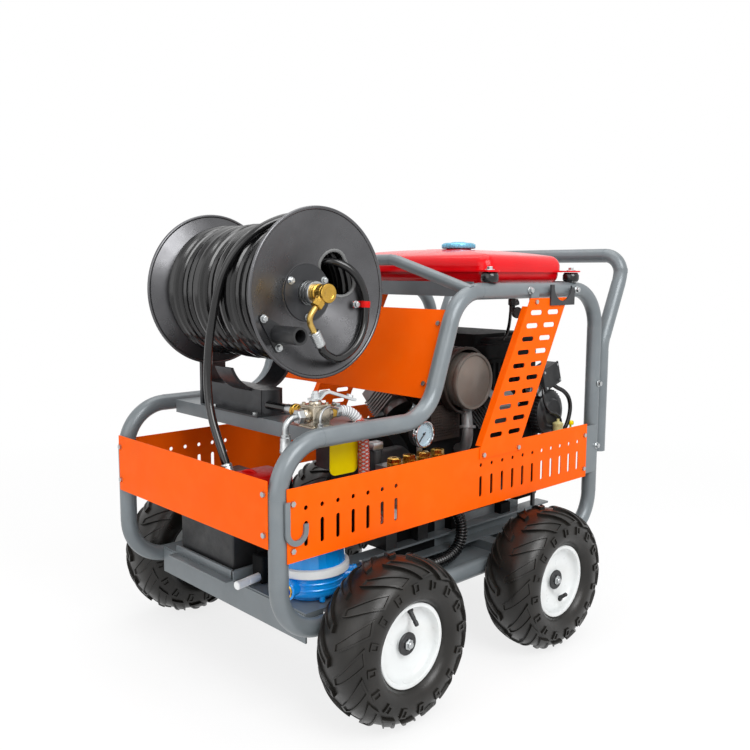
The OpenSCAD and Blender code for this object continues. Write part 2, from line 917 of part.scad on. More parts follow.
module panel_bolts() {
  color("lightgray") {
    for (far = [false, true])
      mirrored_y(far) {
        at_side_bolts()
          bolt();
        at_strip_bolts()
          bolt();
        at_front_bolts()
          bolt();
        at_sloped_bolts()
          bolt();
        at_handle_bolts()
          translate([0, 0, leg_setback + tube_r + seat_gap])
            rotate([180, 0, 0])
              union() {
                translate([0, 0, -bolt_head_h])
                  cylinder(d = bolt_head_d, h = bolt_head_h, $fn = 6);
                cylinder(d = bolt_d, h = leg_setback + tube_r);
              }
      }
    at_stand_bolts()
      bolt();
  }
}

// Fuel tank: a seamed two-part shell on four rubber mounts
module tank_slab(inset, r, z, h) {
  for (sx = [0, 1], sy = [-1, 1])
    translate([tank_x0 + (sx == 0 ? inset + r : tank_l - inset - r), sy * (tank_w / 2 - inset - r), z])
      cylinder(r = r, h = h, $fn = 32);
}

module tank_top(g) {
  hull() {
    tank_slab(4 + g, 26, seam_z + seam_t - 1, 16);
    tank_slab(14 + g, 30, seam_z + seam_t + tank_crown * 0.62 - g, 1);
    tank_slab(52 + g, 40, seam_z + seam_t + tank_crown - 1 - g, 1);
  }
}

module tank_bottom(g) {
  hull() {
    tank_slab(4 + g, 26, seam_z - 8, 9);
    tank_slab(30 + g, 26, seam_z - tank_belly + g, 1);
  }
}

module fuel_tank() {
  color("crimson")
    difference() {
      union() {
        tank_top(0);
        tank_bottom(0);
        block([tank_x0 - 6, -tank_w / 2 - 6, seam_z], [tank_x0 + tank_l + 6, tank_w / 2 + 6, seam_z + seam_t]);
        for (x = mount_x, s = [-1, 1])
          block([x - ear / 2, s > 0 ? tank_w / 2 - 20 : -fy - ear / 2, seam_z],
            [x + ear / 2, s > 0 ? fy + ear / 2 : -tank_w / 2 + 20, seam_z + seam_t]);
        translate([cap_at.x, cap_at.y, seam_z + tank_crown - 10])
          cylinder(r = neck_r, h = 22);
      }
      tank_top(tank_wall);
      tank_bottom(tank_wall);
      translate([cap_at.x, cap_at.y, seam_z])
        cylinder(r = neck_r - neck_wall, h = 2 * tank_crown);
    }
}

module fuel_cap() {
  z = seam_z + seam_t + tank_crown + seat_gap;
  color("steelblue")
    difference() {
      translate([cap_at.x, cap_at.y, z])
        cylinder(d = cap_d, h = cap_h);
      translate([cap_at.x, cap_at.y, z - 1])
        cylinder(r = neck_r + seat_gap, h = cap_h - 3);
    }
}

module tank_mounts() {
  color("#222222")
    for (x = mount_x, y = [-fy, fy])
      difference() {
        translate([x, y, tz])
          cylinder(r = 15, h = seam_z - tz);
        along_x(x - 30, y, tz)
          cylinder(r = tube_r + seat_gap / 2, h = 60);
      }
}

module fuel_tap() {
  z = seam_z - tank_belly - seat_gap;
  color("#222222") {
    translate([tap_at.x, tap_at.y, z - 30])
      cylinder(r = 11, h = 30);
    block([tap_at.x - 5, tap_at.y - 44, z - 24], [tap_at.x + 5, tap_at.y, z - 14]);
  }
}

// Engine
module engine_block() {
  color("#2b2b2b") {
    block([block_x.x, -block_hw, block_z.x], [block_x.y, block_hw, block_z.y]);
    for (x = [block_x.x + 30, block_x.y - 70])
      block([x, -bed_y - 10, bed_z], [x + 40, bed_y + 10, block_z.x + 12]);
    along_x(pump_x.y + 1, 0, crank_z)
      cylinder(r = 88, h = block_x.x - pump_x.y);
  }
}

module cylinder_bank(x, side) {
  translate([x, 0, crank_z])
    rotate([-45 * side, 0, 0]) {
      translate([0, 0, 148])
        cylinder(r = 44, h = 92);
      for (i = [0 : 6])
        translate([-54, -52, 168 + i * 9])
          cube([108, 104, 4]);
      translate([-50, -46, 228])
        cube([100, 92, 26]);
    }
}

module engine_cylinders() {
  color("silver")
    difference() {
      union() {
        cylinder_bank(block_x.x + 248, -1);
        cylinder_bank(block_x.x + 150, 1);
      }
      block([block_x.x - 1, -block_hw - seat_gap, block_z.x],
        [block_x.y + 1, block_hw + seat_gap, block_z.y + seat_gap]);
    }
}

module blower_housing() {
  color("#222222")
    difference() {
      union() {
        along_x(blower_x.x, 0, crank_z)
          cylinder(r = blower_r, h = blower_x.y - blower_x.x - 30);
        along_x(blower_x.y - 30, 0, crank_z)
          cylinder(r1 = blower_r, r2 = blower_r - 45, h = 30);
        block([blower_x.x, -90, bed_z], [blower_x.x + 60, 90, crank_z]);
      }
      along_x(blower_x.y - 40, 0, crank_z)
        difference() {
          cylinder(r = blower_r - 60, h = 60);
          for (r = [30, 60, 90])
            difference() {
              cylinder(r = r, h = 60);
              cylinder(r = r - 6, h = 60);
            }
          for (a = [0, 45, 90, 135])
            rotate([0, 0, a])
              translate([-blower_r, -4, 0])
                cube([2 * blower_r, 8, 60]);
        }
    }
}

module muffler() {
  color("dimgray") {
    along_y(muffler_at.x, muffler_y0, muffler_at.y)
      union() {
        cylinder(r1 = muffler_r - 10, r2 = muffler_r - 5, h = 6);
        translate([0, 0, 6])
          cylinder(r = muffler_r, h = muffler_l - 6);
      }
    for (y = [-116, -50])
      block([muffler_at.x - 22, y, block_z.y + seat_gap],
        [muffler_at.x + 22, y + 5, muffler_at.y - muffler_r + 14]);
  }
}

module heat_shield() {
  r = muffler_r + shield_gap;
  shield_l = muffler_l - 40;
  color("#4a4038")
    difference() {
      along_y(muffler_at.x, muffler_y0 + 22, muffler_at.y)
        union() {
          rotate([0, 0, 114])
            rotate_extrude(angle = 126)
              translate([r, 0])
                square([2, shield_l]);
          for (a = [122, 172, 228])
            rotate([0, 0, a])
              translate([muffler_r + seat_gap, -6, shield_l / 2])
                cube([shield_gap, 12, 12]);
        }
      for (i = [0 : 4], k = [0, 1])
        along_y(muffler_at.x, muffler_y0 + 40 + i * 30, muffler_at.y)
          rotate([0, 0, 130 + 50 * k])
            translate([r - 10, -10, 0])
              cube([30, 44, 8]);
    }
}

module air_cleaner() {
  top = muffler_at.y + 113;
  color("#222222") {
    block([block_x.y - 34, -60, block_z.y + seat_gap], [block_x.y, 60, top - 70]);
    hull()
      for (x = [muffler_at.x + 96, block_x.y + 96], y = [-124, 124])
        translate([x, y, top - 76])
          cylinder(r1 = 16, r2 = 11, h = 76, $fn = 32);
  }
}

module control_box() {
  x = block_x.y + 18;
  post_y = -bed_y - 12;
  color("#222222") {
    block([x + 24, post_y, bed_z], [x + 54, post_y + 5, fz + 74]);
    block([x, post_y - 50, fz + 14], [x + 92, post_y, fz + 82]);
  }
}

// Pump
module pump_crankcase() {
  color("#222222")
    difference() {
      union() {
        block([pump_x.x + 12, pump_y.y, pump_z.x - 30], [pump_x.y, case_y1, case_top]);
        along_x(pump_x.x + 12, -90, crank_z)
          cylinder(r = 60, h = pump_x.y - pump_x.x - 12);
        for (x = [pump_x.x + 24, pump_x.y - 54])
          block([x, -bed_y - 14, bed_z], [x + 36, case_y1, pump_z.x - 20]);
      }
      for (i = [0 : 2])
        block([pump_x.x + 40 + i * cap_pitch, pump_y.y - 1, pump_z.x + 20],
          [pump_x.x + 64 + i * cap_pitch, pump_y.y + 14, case_top - 20]);
    }
}

module pump_head() {
  color("lightgray") {
    block([pump_x.x, pump_y.x, pump_z.x], [pump_x.y, pump_y.y - seat_gap, pump_z.y - 18]);
    for (z = pump_port_z)
      along_x(pump_x.x - 12, (pump_y.x + pump_y.y) / 2, z)
        cylinder(r = 16, h = 12, $fn = 6);
    translate([gauge_at.x, gauge_at.y + 20, pump_z.y - 18])
      cylinder(r = 7, h = gauge_at.z - pump_z.y + 18 - gauge_d / 2 - seat_gap);
  }
}

module pump_caps() {
  color("goldenrod")
    for (i = [0 : 3])
      translate([pump_x.x + 18 + i * cap_pitch, pump_y.x + 16, pump_z.y - 18]) {
        cylinder(r = cap_r, h = 9);
        translate([0, 0, 8])
          cylinder(r = cap_r - 1, h = 14, $fn = 6);
      }
}

module pressure_gauge() {
  color("lightgray")
    along_y(gauge_at.x, gauge_at.y, gauge_at.z)
      difference() {
        cylinder(d = gauge_d, h = 30);
        translate([0, 0, -1])
          cylinder(d = gauge_d - 6, h = 9);
        translate([0, 0, 7])
          cylinder(r = 2 + run_gap, h = 8);
      }
}

module gauge_needle() {
  color("black")
    along_y(gauge_at.x, gauge_at.y, gauge_at.z) {
      translate([0, 0, 3])
        cylinder(r = 2, h = 10);
      rotate([0, 0, needle_rest])
        translate([-6, -1, 3.4])
          cube([gauge_d / 2, 2, 1.2]);
    }
}

// Ball valve on the shelf
module valve_body() {
  mid = [valve_at.x, valve_at.y, port_z];
  color("silver")
    difference() {
      union() {
        block([valve_at.x - valve_w / 2, valve_at.y - valve_w / 2, valve_at.z],
          [valve_at.x + valve_w / 2, valve_at.y + valve_w / 2, valve_at.z + valve_h]);
        along_x(mid.x - valve_w / 2 - 14, mid.y, mid.z)
          cylinder(r = port_r + 4, h = valve_w + 28);
        along_y(mid.x, mid.y, mid.z)
          cylinder(r = port_r + 4, h = valve_w / 2 + 14);
        translate([valve_at.x, valve_at.y, valve_at.z + valve_h])
          cylinder(r = 13, h = 12);
      }
      along_x(mid.x - valve_w / 2 - 15, mid.y, mid.z)
        cylinder(r = port_r - 3, h = valve_w + 30);
      along_y(mid.x, mid.y, mid.z)
        cylinder(r = port_r - 3, h = valve_w / 2 + 15);
      translate([valve_at.x, valve_at.y, port_z])
        cylinder(r = stem_r + run_gap, h = valve_h);
    }
}

module valve_lever() {
  lift = 14;
  color("silver")
    translate([valve_at.x, valve_at.y, stem_z]) {
      translate([0, 0, -22])
        cylinder(r = stem_r, h = 34);
      cylinder(r = 11, h = 5);
      translate([0, -9, 1])
        cube([16, 18, 4]);
      translate([14, 0, 1])
        rotate([0, -34, 0])
          translate([0, -8, 0])
            cube([lift / sin(34), 16, 4]);
      translate([14 + lift / tan(34) - 1, 0, lift + 1])
        rotate([0, 9, 0])
          translate([0, -8, 0])
            cube([lever_l - 14 - lift / tan(34), 16, 4]);
    }
}

module hose_fittings() {
  mid = [valve_at.x, valve_at.y, port_z];
  face = valve_w / 2 + 14;
  drop = delivery_route[0];
  color("goldenrod") {
    along_y(mid.x, mid.y + face + seat_gap, mid.z)
      union() {
        cylinder(r = 13, h = 14, $fn = 6);
        cylinder(r = 15, h = 30);
      }
    along_x(mid.x + face + seat_gap, mid.y, mid.z)
      union() {
        cylinder(r = 14, h = 10, $fn = 6);
        cylinder(r = bypass_d / 2 - 4, h = bypass_route[0].x - face - 2 * seat_gap);
      }
    translate([mid.x - face - seat_gap, mid.y, mid.z])
      rotate([90, 0, 180])
        bent_bar([[0, 0], [-drop.x - face, 0], [-drop.x - face, drop.z + 34]], 22, 14);
    aim(mid + drop + [0, 0, 38], [0, 0, -1])
      cylinder(r = ferrule_r, h = 38 - seat_gap);
  }
}

module delivery_hose() {
  mid = [valve_at.x, valve_at.y, port_z];
  feed_y = mid.y + valve_w / 2 + 45;
  color("#222222") {
    tube(smoothed([for (p = delivery_route) mid + p], 3), hose_d, 8, [0, 1, 0]);
    along_y(mid.x, feed_y, mid.z)
      cylinder(d = hose_d, h = reel_offset + stand_y.x - feed_y);
  }
}

module bypass_hose() {
  mid = [valve_at.x, valve_at.y, port_z];
  color("mistyrose")
    tube(smoothed([for (p = bypass_route) mid + p], 3), bypass_d, 8, [0, 1, 0]);
}

module suction_hose() {
  color("#222222")
    ribbed_tube(smoothed([for (p = suction_route) [fx, -fy, deck_z] + p], 4), suction_d, suction_d - 4,
      suction_d - 10, 8, [0, 1, 0]);
}

// Hose reel, in a frame with its axis along Z towards the far side and its local Y downwards
module on_reel() {
  translate([reel_x, reel_offset, reel_z])
    rotate([-90, 0, 0])
      children();
}

// Outer and inner faces of a flange at radius r
function cone_z(r) = hub_half + (bead_z + flange_t / 2 - hub_half) * (r - drum_r) / (bead_at - drum_r);
function cone_in(r) = hub_half - hub_t
  + (bead_z - flange_t / 2 - hub_half + hub_t) * (r - drum_r) / (bead_at - drum_r);

module whip_opening(h) {
  a = whip_slot[0];
  b = whip_slot[1];
  waist = 0.98 * whip_slot_r;
  for (p = whip_slot)
    translate([p.x, p.y, 0])
      cylinder(r = whip_slot_r, h = h);
  translate([a.x, a.y, 0])
    rotate([0, 0, atan2(b.y - a.y, b.x - a.x)])
      translate([0, -waist, 0])
        cube([norm(b - a), 2 * waist, h - 0.5]);
}

module reel_drum() {
  bore = axle_d / 2 + run_gap;
  color("#3a3a3a")
    on_reel()
      difference() {
        union() {
          rotate_extrude()
            translate([drum_r - 3, 1 - hub_half])
              square([3, 2 * hub_half - 2]);
          for (s = [0, 1])
            mirror([0, 0, s]) {
              rotate_extrude()
                polygon([[bore, hub_half - 36], [bore + 8, hub_half - 36], [bore + 8, hub_half - hub_t],
                  [drum_r, hub_half - hub_t], [bead_at, bead_z - flange_t / 2], [bead_at, bead_z + flange_t / 2],
                  [drum_r, hub_half], [bore, hub_half]]);
              translate([0, 0, bead_z])
                rotate_extrude()
                  translate([bead_at, 0])
                    circle(r = bead_r);
            }
        }
        translate([0, 0, -rim_half])
          whip_opening(rim_half - 100);
      }
}

module reel_axle() {
  color("silver")
    on_reel() {
      translate([0, 0, -hub_half - axle_stub])
        cylinder(d = axle_d, h = hub_half + axle_stub + rim_half + arm_gap + arm_t + 26);
      translate([0, 0, rim_half + arm_gap + arm_t + seat_gap])
        cylinder(r = axle_d / 2 + 9, h = 14, $fn = 6);
    }
}

module reel_swivel() {
  bore = axle_d / 2 + run_gap;
  along = unit(elbow_path[1] - elbow_path[0]);
  color("goldenrod")
    on_reel()
      translate([0, 0, -hub_half - swivel_l])
        difference() {
          union() {
            cylinder(r = swivel_r - 3, h = 14, $fn = 6);
            translate([0, 0, 12])
              cylinder(r = swivel_r, h = swivel_l - collar_l - 8);
            translate([0, 0, swivel_l - collar_l])
              cylinder(r = 26, h = collar_l);
            translate([0, 0, swivel_l - elbow_at])
              bent_bar(elbow_path, elbow_bend, elbow_d);
            translate([along.x * 22, along.y * 22, swivel_l - elbow_at])
              rotate([0, 90, atan2(along.y, along.x)])
                cylinder(r = 13, h = 17, $fn = 6);
            translate([elbow_path[2].x, elbow_path[2].y, swivel_l - elbow_at])
              rotate([0, -90, atan2(elbow_path[2].y - elbow_path[1].y, elbow_path[2].x - elbow_path[1].x)])
                cylinder(r = ferrule_r, h = ferrule_l);
          }
          translate([0, 0, swivel_l - axle_stub - 2])
            cylinder(r = bore, h = axle_stub + 3);
          for (z = [9, 19])
            translate([0, 0, swivel_l - collar_l + z])
              difference() {
                cylinder(r = 30, h = 4);
                cylinder(r = 24, h = 4);
              }
        }
}

module whip_hose() {
  along = unit(elbow_path[2] - elbow_path[1]);
  start = [elbow_path[2].x, elbow_path[2].y, -hub_half - elbow_at];
  out = [along.x, along.y, 0];
  color("#222222")
    on_reel()
      tube(smoothed(concat([for (k = [0.02, 0.5, 1]) start + k * hose_d * out], whip_route), 2),
        hose_d, 8, [0, 0, 1]);
}

module crank_handle() {
  r = norm(crank_at);
  seat = cone_z(r + crank_od / 2) + 1;
  rim_in = bead_at - bead_r - 1;
  foot_gap = 2 * seat_gap;
  color("#222222")
    on_reel() {
      difference() {
        translate([crank_at.x, crank_at.y, -seat - crank_l])
          cylinder(d = crank_od, h = crank_l);
        translate([crank_at.x, crank_at.y, -seat - crank_l - 1])
          cylinder(d = crank_id, h = crank_l - 7);
      }
      difference() {
        translate([crank_at.x, crank_at.y, -seat - 3])
          linear_extrude(seat - hub_half)
            polygon([[-44, -34], [-34, -40], [16, -14], [20, 6], [10, 36], [-2, 38]]);
        rotate_extrude()
          polygon([[0, 0], [2 * flange_r, 0], [2 * flange_r, -rim_half - foot_gap], [rim_in, -rim_half - foot_gap],
            [rim_in, -cone_z(rim_in) - foot_gap], [drum_r, -hub_half - foot_gap], [0, -hub_half - foot_gap]]);
      }
    }
}

// Outer layer of hose: one helix with straight tangent ends, over a plain core of the layers below
helix_steps = 24;
helix_half = turns * pitch / 2;
function helix(k) = let(a = 360 * k / helix_steps)
  [wind_r * cos(a), wind_r * sin(a), -helix_half + pitch * k / helix_steps];
function helix_dir(k) = unit(helix(k + 0.01) - helix(k - 0.01));
helix_n = turns * helix_steps;
helix_route = concat([helix(0) - hose_d * helix_dir(0)], [for (k = [0 : helix_n]) helix(k)],
  [helix(helix_n) + hose_d * helix_dir(helix_n)]);
helix_gap = min([for (i = [0 : len(helix_route) - 1], j = [i + helix_steps - 3 : i + helix_steps + 3])
  j < len(helix_route) ? norm(helix_route[i] - helix_route[j]) : 9 * hose_d]) - hose_d;

module wound_hose() {
  core_end = cone_in(drum_r) - core_gap;
  core_rim = cone_in(core_r) - core_gap;
  echo(least_gap_between_turns = helix_gap);
  color("#1c1c1c")
    on_reel() {
      tube(helix_route, hose_d, 6, [1, 0, 0]);
      difference() {
        rotate_extrude()
          polygon([[drum_r + core_gap, -core_end], [core_r, -core_rim],
            [core_r, core_rim], [drum_r + core_gap, core_end]]);
        translate([0, 0, -rim_half])
          whip_opening(rim_half - hub_half + whip_pocket);
      }
    }
}

module free_hose() {
  color("#1c1c1c")
    tube(smoothed([for (p = free_route) [reel_x, reel_offset, reel_z] + p], 3), hose_d, 8, [0, 1, 0]);
}

module hose_end() {
  last = len(free_route) - 1;
  along = unit(free_route[last] - free_route[last - 1]);
  color("lightgray")
    aim([reel_x, reel_offset, reel_z] + free_route[last] + seat_gap * along, along)
      difference() {
        union() {
          cylinder(r = ferrule_r, h = 42);
          translate([0, 0, 42])
            cylinder(r = 8, h = 8);
          translate([0, 0, 48])
            cylinder(r = 14, h = 22, $fn = 6);
        }
        translate([0, 0, 54])
          cylinder(r = 8.5, h = 20);
      }
}

// Stand: a pedestal with a saddle, and an arm on the far side that holds the axle
module reel_stand() {
  y0 = reel_offset + stand_y.x;
  y1 = reel_offset + stand_y.y;
  arm_y = reel_offset + rim_half + arm_gap;
  top = shelf_z + stand_h;
  color("#1c1c1c")
    difference() {
      union() {
        block([reel_x - 30, y0 + 20, shelf_z], [reel_x + 30, arm_y + arm_t, top]);
        translate([reel_x, y0 + 30, shelf_z])
          cylinder(r = 30, h = top - shelf_z);
        block([reel_x - 56, y0, shelf_z], [reel_x + 56, y1, shelf_z + shelf_t]);
        block([reel_x - 34, arm_y, shelf_z], [reel_x + 34, arm_y + arm_t, reel_z]);
        along_y(reel_x, arm_y, reel_z)
          cylinder(r = 34, h = arm_t);
        along_y(reel_x, reel_offset + hub_half + core_gap, reel_z)
          cylinder(r = axle_d / 2 + 8, h = arm_y - reel_offset - hub_half);
        difference() {
          along_y(reel_x, y0 + 56, top + saddle_r - 4)
            cylinder(r = saddle_r + saddle_t, h = saddle_w);
          block([reel_x - 2 * saddle_r, y0, top + saddle_r - 32],
            [reel_x + 2 * saddle_r, y1, top + 3 * saddle_r]);
          along_y(reel_x, y0 + 55, top + saddle_r - 4)
            cylinder(r = saddle_r, h = saddle_w + 2);
        }
      }
      along_y(reel_x, reel_offset, reel_z)
        cylinder(r = axle_d / 2 + 2 * run_gap, h = reel_w);
      at_stand_bolts()
        bolt_hole();
    }
}

// Water filter: head below, bowl above
module water_filter() {
  r = filter_d / 2;
  color("dodgerblue")
    translate([filter_at.x, filter_at.y, filter_z])
      difference() {
        filter_body(r);
        rotate([0, 0, filter_ports[1]])
          translate([r + 16 - inlet_depth, 0, filter_port_z])
            rotate([0, 90, 0])
              cylinder(r = inlet_r, h = inlet_depth + 1);
      }
}

module filter_body(r) {
  union() {
    cylinder(r = r * 0.62, h = 14);
    translate([0, 0, 12])
      cylinder(r1 = r * 0.86, r2 = r * 0.96, h = 50);
    translate([0, 0, 60])
      cylinder(r = r, h = 16);
    translate([0, 0, 74])
      cylinder(r1 = r * 0.9, r2 = r * 0.8, h = 100);
    for (a = filter_ports)
      rotate([0, 0, a])
        translate([r - 30, 0, filter_port_z])
          rotate([0, 90, 0])
            cylinder(r = 20, h = 46);
  }
}

module battery() {
  z = deck_z + shelf_t;
  color("#222222") {
    translate([battery_at.x, battery_at.y, z])
      cube([battery_size.x, battery_size.y, battery_size.z - 26]);
    translate([battery_at.x - 3, battery_at.y - 3, z + battery_size.z - 26])
      cube([battery_size.x + 6, battery_size.y + 6, 26]);
  }
}

module relay_cover() {
  z = deck_z + shelf_t;
  color("red") {
    block([battery_at.x + 20, battery_at.y - 92, z], [battery_at.x + 90, battery_at.y - 12, z + 190]);
    block([battery_at.x - 10, battery_at.y - 100, z + 190], [battery_at.x + 96, battery_at.y - 6, z + 252]);
  }
}

side_frame_near();
side_frame_far();
base_frame();
front_axle();
rear_axle();
reel_shelf();
tank_guard();
tank_bars();
push_handle();
side_panel_near();
side_panel_far();
front_panel();
sloped_panel();
slotted_strip_near();
slotted_strip_far();
hose_hooks();
panel_bolts();
tyre_front_near();
tyre_front_far();
tyre_rear_near();
tyre_rear_far();
rim_front_near();
rim_front_far();
rim_rear_near();
rim_rear_far();
axle_nuts();
fuel_tank();
fuel_cap();
tank_mounts();
fuel_tap();
engine_block();
engine_cylinders();
blower_housing();
muffler();
heat_shield();
air_cleaner();
control_box();
pump_crankcase();
pump_head();
pump_caps();
pressure_gauge();
gauge_needle();
valve_body();
valve_lever();
hose_fittings();
delivery_hose();
bypass_hose();
suction_hose();
reel_stand();
reel_axle();
reel_drum();
reel_swivel();
whip_hose();
crank_handle();
wound_hose();
free_hose();
hose_end();
water_filter();
battery();
relay_cover();
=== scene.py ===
"""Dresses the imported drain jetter: hoses, tyres, fittings and finishes round the CAD frame."""

import json
import math
import random

import bpy
from mathutils import Matrix, Vector


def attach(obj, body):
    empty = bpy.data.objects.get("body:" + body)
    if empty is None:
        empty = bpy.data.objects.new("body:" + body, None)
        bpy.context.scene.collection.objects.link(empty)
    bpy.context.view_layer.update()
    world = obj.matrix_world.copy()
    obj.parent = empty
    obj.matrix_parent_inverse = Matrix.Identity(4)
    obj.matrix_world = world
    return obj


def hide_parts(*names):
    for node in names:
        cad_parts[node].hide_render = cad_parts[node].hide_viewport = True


bl_info = {
    "name": "Drain jetter dressing",
    "version": (1, 0, 0),
    "blender": (4, 5, 0),
    "location": "3D View > Sidebar > Jetter",
    "description": "Builds the visible pieces and finishes of a wheeled drain jetter",
    "category": "Object",
}

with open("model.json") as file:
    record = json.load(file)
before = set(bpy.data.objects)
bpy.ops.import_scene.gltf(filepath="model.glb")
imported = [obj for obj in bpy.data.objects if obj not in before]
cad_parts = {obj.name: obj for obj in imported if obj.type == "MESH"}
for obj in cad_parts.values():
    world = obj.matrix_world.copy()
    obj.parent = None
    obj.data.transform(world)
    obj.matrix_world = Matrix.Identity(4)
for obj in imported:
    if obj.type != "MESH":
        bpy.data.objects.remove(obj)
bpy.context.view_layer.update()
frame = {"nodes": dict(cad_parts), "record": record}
NODES = frame["nodes"]
MM = 0.001

# Places shared by several pieces, in millimetres
REEL = Vector((-433.1, -24.0, 887.6))
VALVE = Vector((-458.1, -238.0, 635.6))
SUCTION_START = Vector((-610.1, -309.0, 230.6))
TANK_CAP = (192.9, -62)
TANK_MOUNTS = [(x, y) for x in (21.9, 364.9) for y in (-309, 309)]
FILTER = Vector((-445.1, -203.0, 234.6))
FILTER_PORT_UP = 38
FILTER_INLET_TURN = 200
GAUGE = (-106.1, -196, 544.6)
MUFFLER_X, MUFFLER_Z = 100.9, 653.6
WIND_RADIUS = 142.0
WIND_PITCH = 20.6

# The camera solved from the photo, in metres and degrees, and its focal length in pixels
CAMERA_AT = (-1.5403, -1.56022, 0.92918)
CAMERA_TURN = (46.52, 7.02, 0.27)
FOCAL_PIXELS, PHOTO_PIXELS, SENSOR_MM = 825.12, 750, 36.0

# Depth of the finest grain in the finishes, in metres
GRAIN_DEPTH = 0.0006

# Hose routes from the CAD source, in millimetres
FREE_ROUTE = [
    (55, -146, 151), (28, -144, 158), (0, -141, 161), (-42, -133, 155), (-82, -122, 138), (-113, -109, 114),
    (-139, -94, 81), (-155, -78, 43), (-161, -62, 0), (-163, -48, -45), (-165, -36, -90), (-165, -28, -135),
    (-166, -25, -180), (-167, -30, -225), (-168, -42, -262), (-169, -60, -296), (-167, -76, -329),
    (-164, -88, -360)]
WHIP_ROUTE = [
    (-11.8, 107.3, -215.5), (-7.4, 114.7, -215.5), (-2.7, 122.4, -215.5), (18, 134, -213), (42, 140, -210),
    (74, 131, -206), (103, 109, -204), (122, 78, -202), (130, 42, -200), (128, 8, -199), (117, -24, -195),
    (99, -48, -187), (79, -62, -174), (62, -68, -157), (50, -68, -135), (45, -67, -115)]
DELIVERY_ROUTE = [
    (-78, 0, -72), (-78, 0, -92), (-77, 0, -116), (-70, 0, -143), (-54, 0, -167), (-28, 1, -186), (10, 4, -198),
    (60, 8, -205), (120, 12, -207), (165, 12, -207), (201.5, 12, -207)]
BYPASS_ROUTE = [
    (52, 0, 0), (64, 0, 0), (77, -2, 0), (91, -8, -5), (102, -15, -17), (109, -21, -36), (112, -26, -62),
    (113, -28, -95), (113, -28, -140), (115, -27, -185), (125, -20, -226), (146, -4, -254), (172, 10, -267),
    (188, 12, -269), (201.5, 12, -269)]
SUCTION_ROUTE = [
    (254, 44, 42), (270, 43, 42), (290, 45, 39), (320, 51, 22), (356, 56, 5), (400, 59, -3), (450, 59, -4),
    (510, 59, -4), (560, 59, -1), (596, 59, 13), (614, 60, 40), (618, 63, 72), (608, 69, 102), (590, 75, 124),
    (570, 79, 133), (553.5, 79, 134)]


def lin(code):
    """Linear colour from a six-digit sRGB code."""
    parts = [int(code[i:i + 2], 16) / 255 for i in (0, 2, 4)]
    return tuple(c / 12.92 if c <= 0.04045 else ((c + 0.055) / 1.055) ** 2.4 for c in parts)


# Finishes
def add_noise(tree, cell, detail):
    """A noise value of that many cells to the metre, read on the piece's own coordinates."""
    place = tree.nodes.new("ShaderNodeTexCoord")
    made = tree.nodes.new("ShaderNodeTexNoise")
    made.inputs["Scale"].default_value = cell
    made.inputs["Detail"].default_value = detail
    tree.links.new(place.outputs["Object"], made.inputs["Vector"])
    return made.outputs["Fac"]


def add_ramp(tree, source, stops):
    """A colour ramp on a value, from two (place, colour) stops."""
    made = tree.nodes.new("ShaderNodeValToRGB")
    for step, (at, colour) in zip(made.color_ramp.elements, stops):
        step.position = at
        step.color = (*colour, 1.0)
    tree.links.new(source, made.inputs["Fac"])
    return made.outputs["Color"]


def shaded(colour, share):
    return tuple(max(0.0, min(1.0, c * share)) for c in colour)


def grey(value):
    return (value, value, value)


def finish(name, colour, rough, metal=0.0, spread=0.12, cell=14.0, grain=700.0, relief=0.15, dust=None, spec=0.5,
        sockets=None):
    """A finish with cloudy tone, patchy gloss and a fine grain; dust is (colour, amount, cells to the metre)."""
    made = bpy.data.materials.new(name)
    made.use_nodes = True
    tree = made.node_tree
    link = tree.links.new
    shader = tree.nodes["Principled BSDF"]
    top = add_ramp(tree, add_noise(tree, cell, 5.0),
        [(0.32, shaded(colour, 1 - spread)), (0.68, shaded(colour, 1 + spread))])
    if dust:
        film, amount, size = dust
        mix = tree.nodes.new("ShaderNodeMixRGB")
        mix.inputs["Color2"].default_value = (*film, 1.0)
        mask = add_ramp(tree, add_noise(tree, size, 6.0), [(0.48, grey(0.0)), (0.78, grey(amount))])
        link(mask, mix.inputs["Fac"])
        link(top, mix.inputs["Color1"])
        top = mix.outputs["Color"]
    link(top, shader.inputs["Base Color"])
    gloss = add_ramp(tree, add_noise(tree, cell * 3.1, 4.0), [(0.3, grey(rough[0])), (0.7, grey(rough[1]))])
    link(gloss, shader.inputs["Roughness"])
    bump = tree.nodes.new("ShaderNodeBump")
    bump.inputs["Strength"].default_value = relief
    bump.inputs["Distance"].default_value = GRAIN_DEPTH
    link(add_noise(tree, grain, 3.0), bump.inputs["Height"])
    link(bump.outputs["Normal"], shader.inputs["Normal"])
    shader.inputs["Metallic"].default_value = metal
    shader.inputs["Specular IOR Level"].default_value = spec
    for socket, value in (sockets or {}).items():
        shader.inputs[socket].default_value = value
    return made


